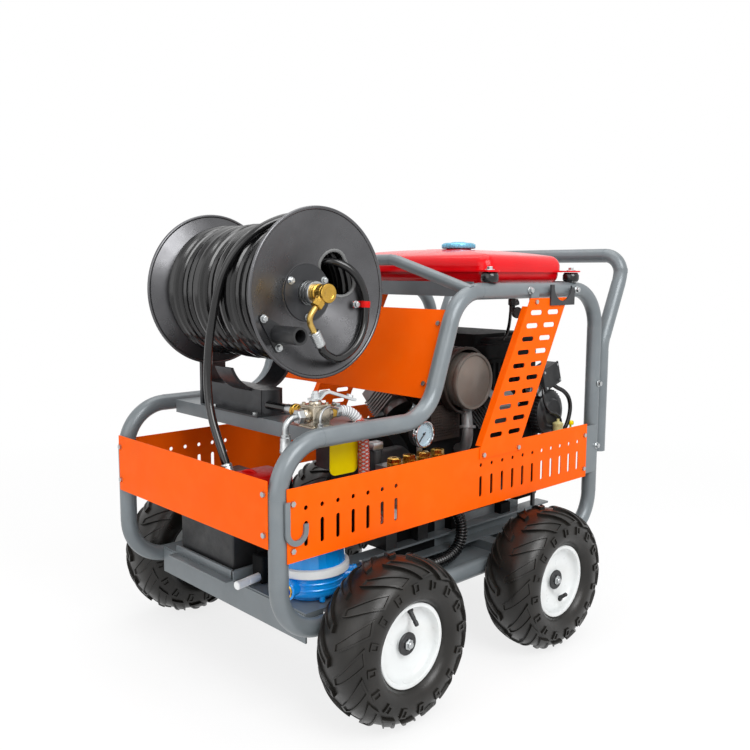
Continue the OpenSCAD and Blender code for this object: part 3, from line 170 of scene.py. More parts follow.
def make_finishes(colours):
    """Every finish of the part, by the record's slot name, and a few that only new pieces use."""
    dirt = lin("8a8174")
    made = {}

    def add(name, *look, **more):
        made[name] = finish(name, *look, **more)
    add("frame_paint", colours.frame, (0.28, 0.38), 0.15, 0.10, 9, 900, 0.10, (lin("9a9a94"), 0.10, 22))
    add("orange_powder", colours.panel, (0.40, 0.50), 0, 0.04, 6, 620, 0.20, (lin("f08030"), 0.10, 26), spec=0.08)
    add("zinc_steel", lin("b9bcbd"), (0.26, 0.42), 1.0, 0.10, 60, 900, 0.12)
    add("axle_steel", lin("53565a"), (0.40, 0.58), 0.85, 0.18, 40, 800, 0.18, (dirt, 0.3, 30))
    add("tyre_rubber", colours.tyre, (0.28, 0.42), 0, 0.25, 22, 1100, 0.20, (lin("3c3833"), 0.14, 16), spec=0.42)
    add("rim_white", colours.rim, (0.26, 0.40), 0, 0.03, 14, 700, 0.12, (lin("b3ada2"), 0.25, 18),
        sockets={"Coat Weight": 0.3, "Coat Roughness": 0.15})
    add("tank_red", colours.tank, (0.16, 0.24), 0, 0.06, 8, 260, 0.05, spec=0.2,
        sockets={"Coat Weight": 0.10, "Coat Roughness": 0.06})
    add("cap_blue", lin("6fb2cc"), (0.22, 0.34), 0.5, 0.10, 40, 900, 0.10)
    add("rubber_black", colours.hose, (0.13, 0.22), 0, 0.2, 30, 1500, 0.05, (lin("3a3836"), 0.05, 40), spec=0.55)
    add("black_plastic", lin("1b1c1e"), (0.36, 0.52), 0, 0.2, 20, 1300, 0.30, (lin("55534f"), 0.12, 30))
    add("engine_black", lin("202123"), (0.32, 0.52), 0.1, 0.2, 18, 800, 0.30, (lin("5a5852"), 0.16, 34))
    add("cast_alloy", lin("8d8f90"), (0.40, 0.60), 0.85, 0.14, 30, 420, 0.55, (dirt, 0.2, 34))
    add("muffler_grey", lin("6f6a64"), (0.38, 0.55), 0.45, 0.14, 16, 600, 0.22, (lin("8c7a66"), 0.25, 20))
    add("brass", lin("c9a04a"), (0.20, 0.34), 1.0, 0.12, 60, 900, 0.12, (lin("6d5222"), 0.25, 70))
    add("gauge_chrome", lin("d6d8da"), (0.10, 0.22), 1.0, 0.06, 80, 900, 0.05)
    add("needle_black", lin("141518"), (0.35, 0.45), 0, 0.2, 200, 1500, 0.1)
    add("clear_braid", lin("d3d6da"), (0.14, 0.26), 0, 0.06, 60, 700, 0.12, (lin("c9b0ae"), 0.3, 60),
        sockets={"Transmission Weight": 0.4, "IOR": 1.4})
    add("reel_paint", colours.reel, (0.24, 0.34), 0.85, 0.15, 10, 700, 0.10, (lin("6b6c6c"), 0.06, 26), spec=0.3)
    add("filter_blue", colours.filter, (0.16, 0.26), 0, 0.12, 24, 500, 0.10,
        sockets={"Transmission Weight": 0.15, "IOR": 1.48, "Coat Weight": 0.4})
    add("hub_dark", lin("2a2b2e"), (0.30, 0.42), 0.2, 0.15, 16, 700, 0.15, (lin("6f7072"), 0.12, 30))
    add("trim_grey", lin("6a6b6b"), (0.45, 0.6), 0, 0.15, 60, 1200, 0.3)
    add("yellow_zinc", lin("c2a25a"), (0.24, 0.36), 0.9, 0.15, 40, 900, 0.12, (lin("a9793f"), 0.35, 50))
    add("nickel", lin("b3aa9a"), (0.22, 0.38), 1.0, 0.10, 50, 900, 0.10)
    add("shroud_brown", lin("2b2420"), (0.40, 0.56), 0.3, 0.2, 24, 800, 0.25, (lin("6a5444"), 0.2, 30))
    add("muffler_end", lin("807870"), (0.36, 0.5), 0.35, 0.10, 16, 500, 0.25, (lin("9a8670"), 0.25, 24))
    add("bright_zinc", lin("c6cacc"), (0.36, 0.48), 0.4, 0.10, 50, 900, 0.15)
    add("matt_black", lin("121314"), (0.48, 0.62), 0, 0.2, 24, 900, 0.25, (lin("3a3733"), 0.12, 30), spec=0.05)
    add("seal_white", lin("e4e6e6"), (0.30, 0.44), 0, 0.04, 40, 600, 0.15)
    add("dial_face", lin("b4cfdc"), (0.30, 0.36), 0, 0.03, 60, 900, 0.02,
        sockets={"Coat Weight": 1.0, "Coat Roughness": 0.03})
    add("plate_yellow", lin("ffe000"), (0.40, 0.52), 0, 0.04, 20, 700, 0.12, spec=0.15)
    add("cup_yellow", lin("d8cf92"), (0.25, 0.36), 0, 0.06, 40, 700, 0.10,
        sockets={"Transmission Weight": 0.2, "IOR": 1.45})
    add("braid_red", lin("b03a24"), (0.35, 0.5), 0, 0.25, 90, 900, 0.15)
    add("relay_red", lin("c40e0c"), (0.35, 0.5), 0, 0.10, 30, 1000, 0.25, spec=0.15)
    return made


FINISHES = {}


# Modelling helpers
def fresh():
    """Object mode with nothing selected."""
    if bpy.context.object is not None and bpy.context.object.mode != "OBJECT":
        bpy.ops.object.mode_set(mode="OBJECT")
    bpy.ops.object.select_all(action="DESELECT")


def only(obj):
    fresh()
    obj.select_set(True)
    bpy.context.view_layer.objects.active = obj


def edit(obj):
    """Edit mode with all of an object selected."""
    only(obj)
    bpy.ops.object.mode_set(mode="EDIT")
    bpy.ops.mesh.select_all(action="SELECT")


def leave():
    bpy.ops.object.mode_set(mode="OBJECT")


def placed(mm):
    """A point in metres from one in millimetres."""
    return Vector(mm) * MM


def smoothed(points, steps):
    """Points on a smooth curve through a route."""
    p = [Vector(q) for q in points]
    p = [2 * p[0] - p[1]] + p + [2 * p[-1] - p[-2]]
    out = []
    for i in range(1, len(p) - 2):
        for k in range(steps):
            t = k / steps
            out.append(0.5 * (2 * p[i] + (p[i + 1] - p[i - 1]) * t
                + (2 * p[i - 1] - 5 * p[i] + 4 * p[i + 1] - p[i + 2]) * t * t
                + (3 * p[i] - p[i - 1] - 3 * p[i + 1] + p[i + 2]) * t ** 3))
    return out + [p[-2]]


def bar_curve(name, points, width, sides=16):
    """A round curve of one open spline through points in metres."""
    data = bpy.data.curves.new(name, "CURVE")
    data.dimensions = "3D"
    spline = data.splines.new("POLY")
    spline.points.add(len(points) - 1)
    for dot, q in zip(spline.points, points):
        dot.co = (*q, 1.0)
    data.bevel_depth = width / 2
    data.bevel_resolution = max(0, sides // 4 - 1)
    data.use_fill_caps = True
    obj = bpy.data.objects.new(name, data)
    bpy.context.scene.collection.objects.link(obj)
    return obj


def meshed(curve, angle=40):
    """A curve made a mesh."""
    only(curve)
    bpy.ops.object.convert(target="MESH")
    return clean(bpy.context.object, angle)


def hose(name, points, width, sides=16):
    """A round hose as a mesh, through points in metres."""
    return meshed(bar_curve(name, points, width, sides))


def tubing(name, points, width, sides):
    """A round hose as a mesh, all in millimetres."""
    return hose(name, [placed(q) for q in points], width * MM, sides)


def clean(obj, angle=40):
    """Merged, outward faces and soft shading up to an angle."""
    edit(obj)
    bpy.ops.mesh.remove_doubles(threshold=1e-5)
    bpy.ops.mesh.normals_make_consistent(inside=False)
    leave()
    bpy.ops.object.shade_smooth_by_angle(angle=math.radians(angle))
    return obj


def dress(obj, slot, *nodes, body="chassis", look=None):
    """Gives a finished piece its finish (the look's, else the slot's), puts it on its body and hides the CAD nodes
    that it stands for.
    """
    obj.data.materials.clear()
    obj.data.materials.append(FINISHES[look or slot])
    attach(obj, body)
    if nodes:
        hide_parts(*nodes)
    return obj


def outline(name, points, closed=False):
    """A chain of edges through points in metres."""
    mesh = bpy.data.meshes.new(name)
    edges = [(i, i + 1) for i in range(len(points) - 1)]
    if closed:
        edges.append((len(points) - 1, 0))
    mesh.from_pydata(points, edges, [])
    obj = bpy.data.objects.new(name, mesh)
    bpy.context.scene.collection.objects.link(obj)
    only(obj)
    return obj


def turned(name, profile, closed=False, steps=48, angle=40):
    """Spins a profile of (radius, height) in millimetres round Z; an open one is drawn in to the axis at its ends."""
    if not closed:
        first, last = profile[0], profile[-1]
        profile = [(0, first[1])] * (first[0] > 0) + profile + [(0, last[1])] * (last[0] > 0)
    obj = outline(name, [(r * MM, 0.0, h * MM) for r, h in profile], closed)
    edit(obj)
    bpy.ops.mesh.spin(steps=steps, angle=2 * math.pi, center=(0, 0, 0), axis=(0, 0, 1))
    return clean(obj, angle)


def settle(obj, at, axis=(0, 0, 1), spin=0.0):
    """Puts a piece modelled at the origin along Z in its place, in millimetres."""
    turn = Vector((0, 0, 1)).rotation_difference(Vector(axis)).to_matrix().to_4x4()
    obj.data.transform(Matrix.Translation(placed(at)) @ turn @ Matrix.Rotation(spin, 4, "Z"))
    return obj


def copied(obj, name, move=None):
    """A copy with its own mesh, moved by a matrix."""
    twin = obj.copy()
    twin.data = obj.data.copy()
    twin.name = name
    twin.data.name = name
    bpy.context.scene.collection.objects.link(twin)
    if move is not None:
        twin.data.transform(move)
    return twin


def gather(name, pieces):
    """Joins pieces into one object."""
    fresh()
    for piece in pieces:
        piece.select_set(True)
    bpy.context.view_layer.objects.active = pieces[0]
    if len(pieces) > 1:
        bpy.ops.object.join()
    obj = bpy.context.object
    obj.name = name
    obj.data.name = name
    return obj


def scatter(name, piece, spots, axis=(0, 0, 1), step=0.0):
    """Copies of a piece at several spots, each turned a step further, in place of the first one."""
    row = [settle(copied(piece, name), at, axis, step * i) for i, at in enumerate(spots)]
    bpy.data.objects.remove(piece)
    return gather(name, row)


def repeat(obj, count, axis):
    """Repeats a piece evenly round an axis through the origin."""
    edit(obj)
    bpy.ops.mesh.spin(steps=count - 1, dupli=True, angle=2 * math.pi * (count - 1) / count, center=(0, 0, 0),
        axis=axis)
    leave()
    return obj


def pick(obj, test, kind="FACE"):
    """Edit mode with the faces or edges selected whose middle and normal or direction pass a test."""
    only(obj)
    mesh = obj.data
    for group in (mesh.vertices, mesh.edges, mesh.polygons):
        group.foreach_set("select", [False] * len(group))
    if kind == "FACE":
        for face in mesh.polygons:
            face.select = bool(test(face.center / MM, face.normal))
    else:
        for edge in mesh.edges:
            a, b = (mesh.vertices[i].co / MM for i in edge.vertices)
            edge.select = bool(test((a + b) / 2, (b - a).normalized()))
    bpy.ops.object.mode_set(mode="EDIT")
    bpy.ops.mesh.select_mode(type=kind)


def round_edges(obj, test, offset, segments):
    """Bevels the edges whose middle and direction pass a test."""
    pick(obj, test, "EDGE")
    bpy.ops.mesh.bevel(offset=offset * MM, segments=segments, affect="EDGES")


def upright(middle, along):
    return abs(along.z) > 0.9


def block(low, high, bevel=0.0, segments=2, name="block"):
    """A box between two corners in millimetres, with rounded edges."""
    fresh()
    bpy.ops.mesh.primitive_cube_add(size=1)
    obj = bpy.context.object
    obj.name = name
    obj.data.name = name
    low, high = Vector(low), Vector(high)
    obj.data.transform(Matrix.Translation(placed((low + high) / 2)) @ Matrix.Diagonal((*placed(high - low), 1)))
    if bevel:
        edit(obj)
        bpy.ops.mesh.bevel(offset=bevel * MM, segments=segments, affect="EDGES")
        leave()
    return clean(obj)


def hex_head(name, width, height, washer=0.0):
    """A hexagon head with chamfered corners, on a washer where one is asked for, standing on Z 0."""
    fresh()
    bpy.ops.mesh.primitive_cylinder_add(vertices=6, radius=width / 2 * MM, depth=height * MM,
        location=(0, 0, (height / 2 + (1.6 if washer else 0)) * MM))
    head = bpy.context.object
    bpy.ops.object.transform_apply(location=True, rotation=True, scale=True)
    pick(head, lambda c, n: n.z > 0.9)
    bpy.ops.mesh.inset(thickness=0.10 * width * MM)
    bpy.ops.transform.translate(value=(0, 0, 0.06 * width * MM))
    leave()
    parts = [clean(head, 25)]
    if washer:
        parts.append(turned(name + "_washer", [(0, 0), (washer / 2, 0), (washer / 2, 1.2), (washer / 2 - 0.5, 1.7),
            (0, 1.7)], steps=24))
    return gather(name, parts)


def rounded(points, radius, steps=6):
    """A route whose inner corners are filleted."""
    p = [Vector(q) for q in points]
    out = [p[0]]
    for a, b, c in zip(p, p[1:], p[2:]):
        u, v = (b - a).normalized(), (c - b).normalized()
        turn = u.angle(v)
        reach = radius * math.tan(turn / 2)
        start, end = b - u * reach, b + v * reach
        inward = (v - u).normalized()
        centre = b + inward * (radius / math.cos(turn / 2))
        for k in range(steps + 1):
            q = (start - centre).lerp(end - centre, k / steps)
            out.append(centre + q.normalized() * radius)
    return out + [p[-1]]


def ringed(name, points, width, sides=12, low=0.84):
    """A closed ribbed strip through points in metres."""
    obj = bar_curve(name, points, width, sides)
    obj.data.splines[0].use_cyclic_u = True
    for i, dot in enumerate(obj.data.splines[0].points):
        dot.radius = 1.0 if i % 2 else low
    return meshed(obj)


def ferrule(name, length, radius):
    """A crimped hose ferrule with shallow ridges, standing on Z 0."""
    rows = 7
    profile = [(0, 0), (radius - 1.6, 0), (radius - 0.4, 1.2)]
    for i in range(rows):
        z = 2 + (length - 6) * i / rows
        step = (length - 6) / rows
        profile += [(radius, z + 0.3 * step), (radius, z + 0.6 * step), (radius - 0.9, z + 0.8 * step),
            (radius - 0.9, z + step)]
    return turned(name, profile + [(radius - 0.6, length - 3), (radius - 2.5, length), (0, length)], steps=32)


def sheet_cut(name, points, y0, y1):
    """A flat plate cut to points of (x, z) in millimetres, between two places along Y."""
    obj = outline(name, [placed((x, y0, z)) for x, z in points], closed=True)
    edit(obj)
    bpy.ops.mesh.edge_face_add()
    bpy.ops.mesh.extrude_region_move(TRANSFORM_OT_translate={"value": (0, (y1 - y0) * MM, 0)})
    leave()
    return clean(obj, 30)


def perforated(name, width, height, cells, thick):
    """A sheet with a grid of holes, flat on Z 0 round the origin, in millimetres."""
    fresh()
    bpy.ops.mesh.primitive_grid_add(x_subdivisions=cells[0], y_subdivisions=cells[1], size=1)
    obj = bpy.context.object
    obj.data.transform(Matrix.Diagonal((width * MM, height * MM, 1, 1)))
    pick(obj, lambda c, n: abs(c.x) < width / 2 - width / cells[0] and abs(c.y) < height / 2 - height / cells[1])
    bpy.ops.mesh.inset(thickness=0.26 * width / cells[0] * MM, use_individual=True)
    bpy.ops.mesh.delete(type="FACE")
    leave()
    wall = obj.modifiers.new("wall", "SOLIDIFY")
    wall.thickness = thick * MM
    bpy.ops.object.modifier_apply(modifier="wall")
    obj.name = name
    return clean(obj, 30)


def paced(points, step):
    """Points at even steps along a route, each with two directions across it."""
    out, side, left = [], None, 0.0
    for a, b in zip(points, points[1:]):
        along = (b - a).normalized()
        side = along.orthogonal() if side is None else side - along * side.dot(along)
        side.normalize()
        while left < (b - a).length:
            out.append((a + along * left, side.copy(), along.cross(side)))
            left += step
        left -= (b - a).length
    return out


def coil(name, points, radius, pitch, wire, start=0.0, hand=1):
    """A wire wound round a route, all in metres."""
    path = []
    for i, (q, u, v) in enumerate(paced(points, pitch / 14)):
        a = start + hand * 2 * math.pi * i / 14
        path.append(q + radius * (math.cos(a) * u + math.sin(a) * v))
    return hose(name, path, wire, 8)


def ribbed(name, points, width, pitch, low):
    """A hose whose width swells and narrows along its length, all in metres."""
    track = [q for q, u, v in paced(points, pitch / 6)]
    obj = bar_curve(name, track, width, 20)
    for i, dot in enumerate(obj.data.splines[0].points):
        dot.radius = low + (1 - low) * (0.5 - 0.5 * math.cos(math.pi * i / 3)) ** 0.7
    return meshed(obj, 60)


def clamp(name, radius, at, axis, up):
    """A hose clamp: a band with its worm housing and screw, in millimetres."""
    band = turned("band", [(radius, -5), (radius + 1, -5.2), (radius + 1.2, 0), (radius + 1, 5.2), (radius, 5)],
        closed=True, steps=36)
    settle(band, at, axis)
    axis, up = Vector(axis).normalized(), Vector(up).normalized()
    side = axis.cross(up)
    turn = Matrix((axis, side, up)).transposed().to_4x4()
    house = block((-5.5, -7, radius), (5.5, 6, radius + 7), 1.5)
    house.data.transform(Matrix.Translation(placed(at)) @ turn)
    screw = settle(hex_head("worm", 8.5, 5), Vector(at) + up * (radius + 3.6) - side * 7, -side)
    return gather(name, [band, house, screw])


# What a user may change
class JetterColours(bpy.types.PropertyGroup):
    """Paints and rubbers of the jetter."""

    frame: bpy.props.FloatVectorProperty(
        name="Frame", description="Satin paint of the tube frame", subtype="COLOR", default=lin("6e7579"))
    panel: bpy.props.FloatVectorProperty(
        name="Panels", description="Powder coat of the sheet panels", subtype="COLOR", default=lin("f45c00"))
    tank: bpy.props.FloatVectorProperty(
        name="Tank", description="Gloss paint of the fuel tank", subtype="COLOR", default=lin("d00410"))
    rim: bpy.props.FloatVectorProperty(
        name="Rims", description="Gloss paint of the wheel rims", subtype="COLOR", default=lin("dadddd"))
    tyre: bpy.props.FloatVectorProperty(
        name="Tyres", description="Rubber of the tyres", subtype="COLOR", default=lin("151310"))
    hose: bpy.props.FloatVectorProperty(
        name="Hose", description="Cover of the jetting hose", subtype="COLOR", default=lin("0d0d0e"))
    reel: bpy.props.FloatVectorProperty(
        name="Reel", description="Paint of the hose reel", subtype="COLOR", default=lin("5c5c5e"))
    filter: bpy.props.FloatVectorProperty(
        name="Filter", description="Bowl of the water filter", subtype="COLOR", default=lin("089cff"))


class JetterSizes(bpy.types.PropertyGroup):
    """Sizes of the dressed pieces."""

    hose_width: bpy.props.FloatProperty(
        name="Hose", description="Outer diameter of the jetting hose", default=0.018, unit="LENGTH")
    turns: bpy.props.IntProperty(
        name="Turns", description="Turns in the outer layer on the reel", default=16, min=4)
    bypass_width: bpy.props.FloatProperty(
        name="Bypass hose", description="Outer diameter of the clear hose", default=0.023, unit="LENGTH")
    lugs: bpy.props.IntProperty(
        name="Lugs", description="Tread lugs on each half of a tyre", default=16, min=8)
    suction_width: bpy.props.FloatProperty(
        name="Suction hose", description="Outer diameter of the ribbed hose", default=0.032, unit="LENGTH")


class JETTER_OT_finishes(bpy.types.Operator):
    """Make the finishes and put them on the CAD nodes"""

    bl_idname = "jetter.finishes"
    bl_label = "Finishes"

    def execute(self, context):
        FINISHES.update(make_finishes(context.scene.jetter_colours))
        for part in frame["record"]["subparts"]:
            node = NODES[part["node"]]
            node.data.materials.clear()
            node.data.materials.append(FINISHES[part["material_slot"]])
        for name, look in (("reel_stand", "hub_dark"), ("heat_shield", "shroud_brown"),
                ("air_cleaner", "matt_black"), ("blower_housing", "matt_black"), ("engine_block", "matt_black"),
                ("crank_handle", "black_plastic")):
            NODES[name].data.materials[0] = FINISHES[look]
        return {"FINISHED"}


class JETTER_OT_stage(bpy.types.Operator):
    """Set the floor, the lights and the camera"""

    bl_idname = "jetter.stage"
    bl_label = "Stage"

    def execute(self, context):
        fresh()
        bpy.ops.mesh.primitive_plane_add(size=30, location=(0, 0, 0))
        floor = context.object
        floor.name = "floor"
        floor.data.materials.append(floor_finish())
        light_sky(context.scene)
        for name, watts, size, at, to in (("key", 135, 2.4, (-0.9, -3.3, 3.2), (-0.1, 0, 0.5)),
                ("fill", 34, 3.0, (-3.4, -0.6, 1.8), (0.1, 0, 0.5)),
                ("top", 55, 3.0, (0.2, 0.2, 3.8), (0, 0, 0.5))):
            data = bpy.data.lights.new(name, "AREA")
            data.energy = watts
            data.size = size
            lamp = bpy.data.objects.new(name, data)
            lamp.location = at
            lamp.rotation_euler = (Vector(to) - Vector(at)).to_track_quat("-Z", "Y").to_euler()
            context.scene.collection.objects.link(lamp)
        heading, dip, roll = (math.radians(a) for a in CAMERA_TURN)
        view = Vector((math.cos(heading) * math.cos(dip), math.sin(heading) * math.cos(dip), -math.sin(dip)))
        data = bpy.data.cameras.new("camera")
        data.sensor_width = SENSOR_MM
        data.lens = FOCAL_PIXELS / PHOTO_PIXELS * SENSOR_MM
        data.clip_end = 60
        camera = bpy.data.objects.new("camera", data)
        camera.location = CAMERA_AT
        turn = view.to_track_quat("-Z", "Y").to_matrix() @ Matrix.Rotation(roll, 3, "Z")
        camera.rotation_euler = turn.to_euler()
        context.scene.collection.objects.link(camera)
        context.scene.camera = camera
        context.scene.view_settings.view_transform = "Standard"
        return {"FINISHED"}


def seen_directly(tree):
    """One where a ray comes from the camera, a reflection or through glass."""
    path = tree.nodes.new("ShaderNodeLightPath")
    seen = path.outputs["Is Camera Ray"]
    for kind in ("Is Glossy Ray", "Is Transmission Ray"):
        either = tree.nodes.new("ShaderNodeMath")
        either.operation = "MAXIMUM"
        tree.links.new(seen, either.inputs[0])
        tree.links.new(path.outputs[kind], either.inputs[1])
        seen = either.outputs[0]
    return seen


def floor_finish():
    """Pale floor that keeps the shadow and fades to the white behind it."""
    made = bpy.data.materials.new("floor_pale")
    made.use_nodes = True
    tree = made.node_tree
    link, new = tree.links.new, tree.nodes.new
    shader = tree.nodes["Principled BSDF"]
    shader.inputs["Base Color"].default_value = (0.9, 0.9, 0.9, 1)
    shader.inputs["Roughness"].default_value = 0.9
    scale = new("ShaderNodeMapping")
    scale.inputs["Scale"].default_value = (0.34, 0.34, 0.34)
    reach = new("ShaderNodeTexGradient")
    reach.gradient_type = "SPHERICAL"
    link(new("ShaderNodeTexCoord").outputs["Object"], scale.inputs["Vector"])
    link(scale.outputs["Vector"], reach.inputs["Vector"])
    share = new("ShaderNodeMath")
    share.operation = "MULTIPLY"
    link(seen_directly(tree), share.inputs[0])
    link(add_ramp(tree, reach.outputs["Fac"], [(0.0, grey(1.0)), (0.6, grey(0.8))]), share.inputs[1])
    mix = new("ShaderNodeMixShader")
    link(share.outputs[0], mix.inputs["Fac"])
    link(shader.outputs[0], mix.inputs[1])
    link(new("ShaderNodeEmission").outputs[0], mix.inputs[2])
    link(mix.outputs[0], tree.nodes["Material Output"].inputs["Surface"])
    return made


def light_sky(scene):
    """White where the camera sees it, plain soft light elsewhere."""
    world = bpy.data.worlds.new("sky")
    world.use_nodes = True
    scene.world = world
    tree = world.node_tree
    soft = tree.nodes["Background"]
    soft.inputs["Color"].default_value = (1, 1, 1, 1)
    soft.inputs["Strength"].default_value = 0.55
    white = tree.nodes.new("ShaderNodeBackground")
    white.inputs["Color"].default_value = (1, 1, 1, 1)
    mix = tree.nodes.new("ShaderNodeMixShader")
    tree.links.new(seen_directly(tree), mix.inputs["Fac"])
    tree.links.new(soft.outputs[0], mix.inputs[1])
    tree.links.new(white.outputs[0], mix.inputs[2])
    tree.links.new(mix.outputs[0], tree.nodes["World Output"].inputs["Surface"])


class JETTER_OT_free_hose(bpy.types.Operator):
    """Hang the loose end of the jetting hose from the reel"""

    bl_idname = "jetter.free_hose"
    bl_label = "Free hose"

    def execute(self, context):
        width = context.scene.jetter_sizes.hose_width
        points = [placed(REEL + q) for q in smoothed(FREE_ROUTE, 4)]
        length = sum((b - a).length for a, b in zip(points, points[1:]))
        piece = bar_curve("free_hose_tube", points, width, 20)
        dress(piece, "rubber_black", "free_hose")
        context.scene["free_start"] = points[0]
        context.scene["free_length"] = round(length, 3)
        return {"FINISHED"}


class JETTER_OT_wound_hose(bpy.types.Operator):
    """Wind the jetting hose on the reel in layers"""

    bl_idname = "jetter.wound_hose"
    bl_label = "Wound hose"

    def execute(self, context):
        sizes = context.scene.jetter_sizes
        for name, radius, turns, shift in (("wound_hose_outer", WIND_RADIUS, sizes.turns, 0.0),
                ("wound_hose_inner", WIND_RADIUS - 15.6, sizes.turns - 1, 0.5)):
            points = winding(radius, turns, shift, sizes.turns)
            piece = hose(name, points, sizes.hose_width, 12)
            dress(piece, "rubber_black", body="reel")
            if shift == 0.0:
                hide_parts("wound_hose")
        return {"FINISHED"}


def winding(radius, turns, shift, across):
    """Points of a slightly uneven helix round the reel, in metres."""
    draw = random.Random(11)
    steps = 48
    sway = [(draw.uniform(-0.7, 0.7), draw.uniform(-1.2, 0.6)) for _ in range(turns + 2)]
    out = []
    for i in range(turns * steps + 1):
        t = i / steps
        k, u = int(t), t - int(t)
        u = u * u * (3 - 2 * u)
        dy = sway[k][0] * (1 - u) + sway[k + 1][0] * u
        dr = sway[k][1] * (1 - u) + sway[k + 1][1] * u
        a = 2 * math.pi * t
        along = (t + shift - across / 2) * WIND_PITCH + dy
        out.append(placed(REEL + Vector(((radius + dr) * math.cos(a), along, (radius + dr) * math.sin(a)))))
    return out


class JETTER_OT_held_hoses(bpy.types.Operator):
    """Lay the whip, delivery, bypass and suction hoses"""

    bl_idname = "jetter.held_hoses"
    bl_label = "Held hoses"

    def execute(self, context):
        sizes = context.scene.jetter_sizes
        whip = [placed(REEL + Vector((q.x, q.z, -q.y))) for q in smoothed(WHIP_ROUTE, 5)]
        dress(hose("whip_hose_tube", whip, sizes.hose_width, 20), "rubber_black", "whip_hose", body="reel")
        drop = [placed(VALVE + q) for q in smoothed(DELIVERY_ROUTE, 5)]
        dress(hose("delivery_hose_tube", drop, sizes.hose_width, 20), "rubber_black", "delivery_hose")
        feed = [placed((VALVE.x, y, VALVE.z)) for y in (-170, -150, -130, -110, -90, -72)]
        dress(hose("reel_feed_tube", feed, sizes.hose_width, 20), "rubber_black")
        clear = [placed(VALVE + q) for q in smoothed(BYPASS_ROUTE, 5)]
        dress(hose("bypass_hose_tube", clear, sizes.bypass_width, 20), "clear_braid", "bypass_hose")
        reach = sizes.bypass_width / 2
        top = [q for q in clear if q.z > 0.612]
        dress(coil("bypass_ribs", top, reach - 0.0006, 0.006, 0.0026), "clear_braid", look="seal_white")
        fall = [q for q in clear if q.z < 0.618]
        strands = [coil("strand", fall, reach - 0.0004, 0.034, 0.0034, math.pi * k / 2, hand) for k in range(4)
            for hand in (1, -1)]
        dress(gather("bypass_braid", strands), "clear_braid", look="braid_red")
        draw = [placed(SUCTION_START + q) for q in smoothed(SUCTION_ROUTE, 6)]
        dress(ribbed("suction_hose_tube", draw, sizes.suction_width, 0.008, 0.85), "rubber_black", "suction_hose")
        cuffs = []
        for at, away in ((SUCTION_START + Vector(SUCTION_ROUTE[0]), (16, -1, 0)),
                (SUCTION_START + Vector(SUCTION_ROUTE[-1]), (16.5, 0, -1))):
            cuffs.append(clamp("cuff", 16.2, at + 11 * Vector(away).normalized(), away, (0, 0, 1)))
        dress(gather("suction_clamps", cuffs), "zinc_steel")
        return {"FINISHED"}


# Reel
HUB_FACE = -181.5
NEAR = (0, -1, 0)


def dish(r):
    """How far the near flange stands out past its hub at a radius."""
    return 43.25 * (r - 65) / 111


def by_reel(dx, out, dz):
    """A point by the reel in millimetres: along X, out past the hub's face, and up from the axle."""
    return Vector((REEL.x + dx, HUB_FACE - out, REEL.z + dz))


def opening_edge():
    """Points round the hose opening in the near flange, in metres."""
    a, b, r = Vector((62, 62)), Vector((88, 20)), 29.0
    along = (b - a).normalized()
    side = Vector((-along.y, along.x))
    flat = []
    for centre, start in ((b, side), (a, -side)):
        first = math.atan2(start.y, start.x)
        flat += [centre + r * Vector((math.cos(first - math.pi * k / 28), math.sin(first - math.pi * k / 28)))
            for k in range(29)]
        end, begin = (b - r * side, a - r * side) if centre == b else (a + r * side, b + r * side)
        flat += [end.lerp(begin, k / 14) for k in range(1, 14)]
    return [placed(by_reel(q.x, dish(q.length) - 1.5, q.y)) for q in flat]


class JETTER_OT_reel(bpy.types.Operator):
    """Trim the reel: hub disc, bolts, opening edge and hose clip"""

    bl_idname = "jetter.reel"
    bl_label = "Reel trim"

    def execute(self, context):
        disc = turned("reel_hub_disc", [(27, 0.3), (60.5, 0.3), (61.5, 1), (61.5, 2.2), (60.7, 2.9), (27, 2.9)],
            closed=True, steps=64)
        dress(settle(disc, by_reel(0, 0, 0), NEAR), "reel_paint", body="reel", look="hub_dark")
        bolt = hex_head("bolt", 13, 5.5, 17)
        spots = [by_reel(52 * math.cos(a), 2.9, 52 * math.sin(a)) for a in map(math.radians, (30, 150, 270))]
        spots += [by_reel(-108 - 33, 38.4, -81 + 32), by_reel(-108 + 3, 38.4, -81 - 28)]
        screw = settle(copied(bolt, "clip_screw"), by_reel(110, 33.4, -26), NEAR)
        dress(scatter("reel_bolts", bolt, spots, NEAR, 0.3), "zinc_steel", body="reel")
        dress(ringed("opening_trim", opening_edge(), 9 * MM), "rubber_black", body="reel", look="trim_grey")
        strap = turned("strap", [(9.1, -7), (10.9, -7), (11.2, -6), (11.2, 6), (10.9, 7), (9.1, 7)], closed=True,
            steps=32)
        settle(strap, by_reel(129.5, 42.1, -26), (0.05, 0, 1))
        tab = block(by_reel(103, 33.5, -33), by_reel(131, 31.6, -19), 0.8)
        post = settle(turned("post", [(6, 0), (6, 7.5)], steps=20), by_reel(110, 24.6, -26), NEAR)
        dress(gather("whip_clip", [strap, tab]), "relay_red", body="reel")
        dress(gather("whip_clip_screw", [post, screw]), "zinc_steel", body="reel")
        return {"FINISHED"}


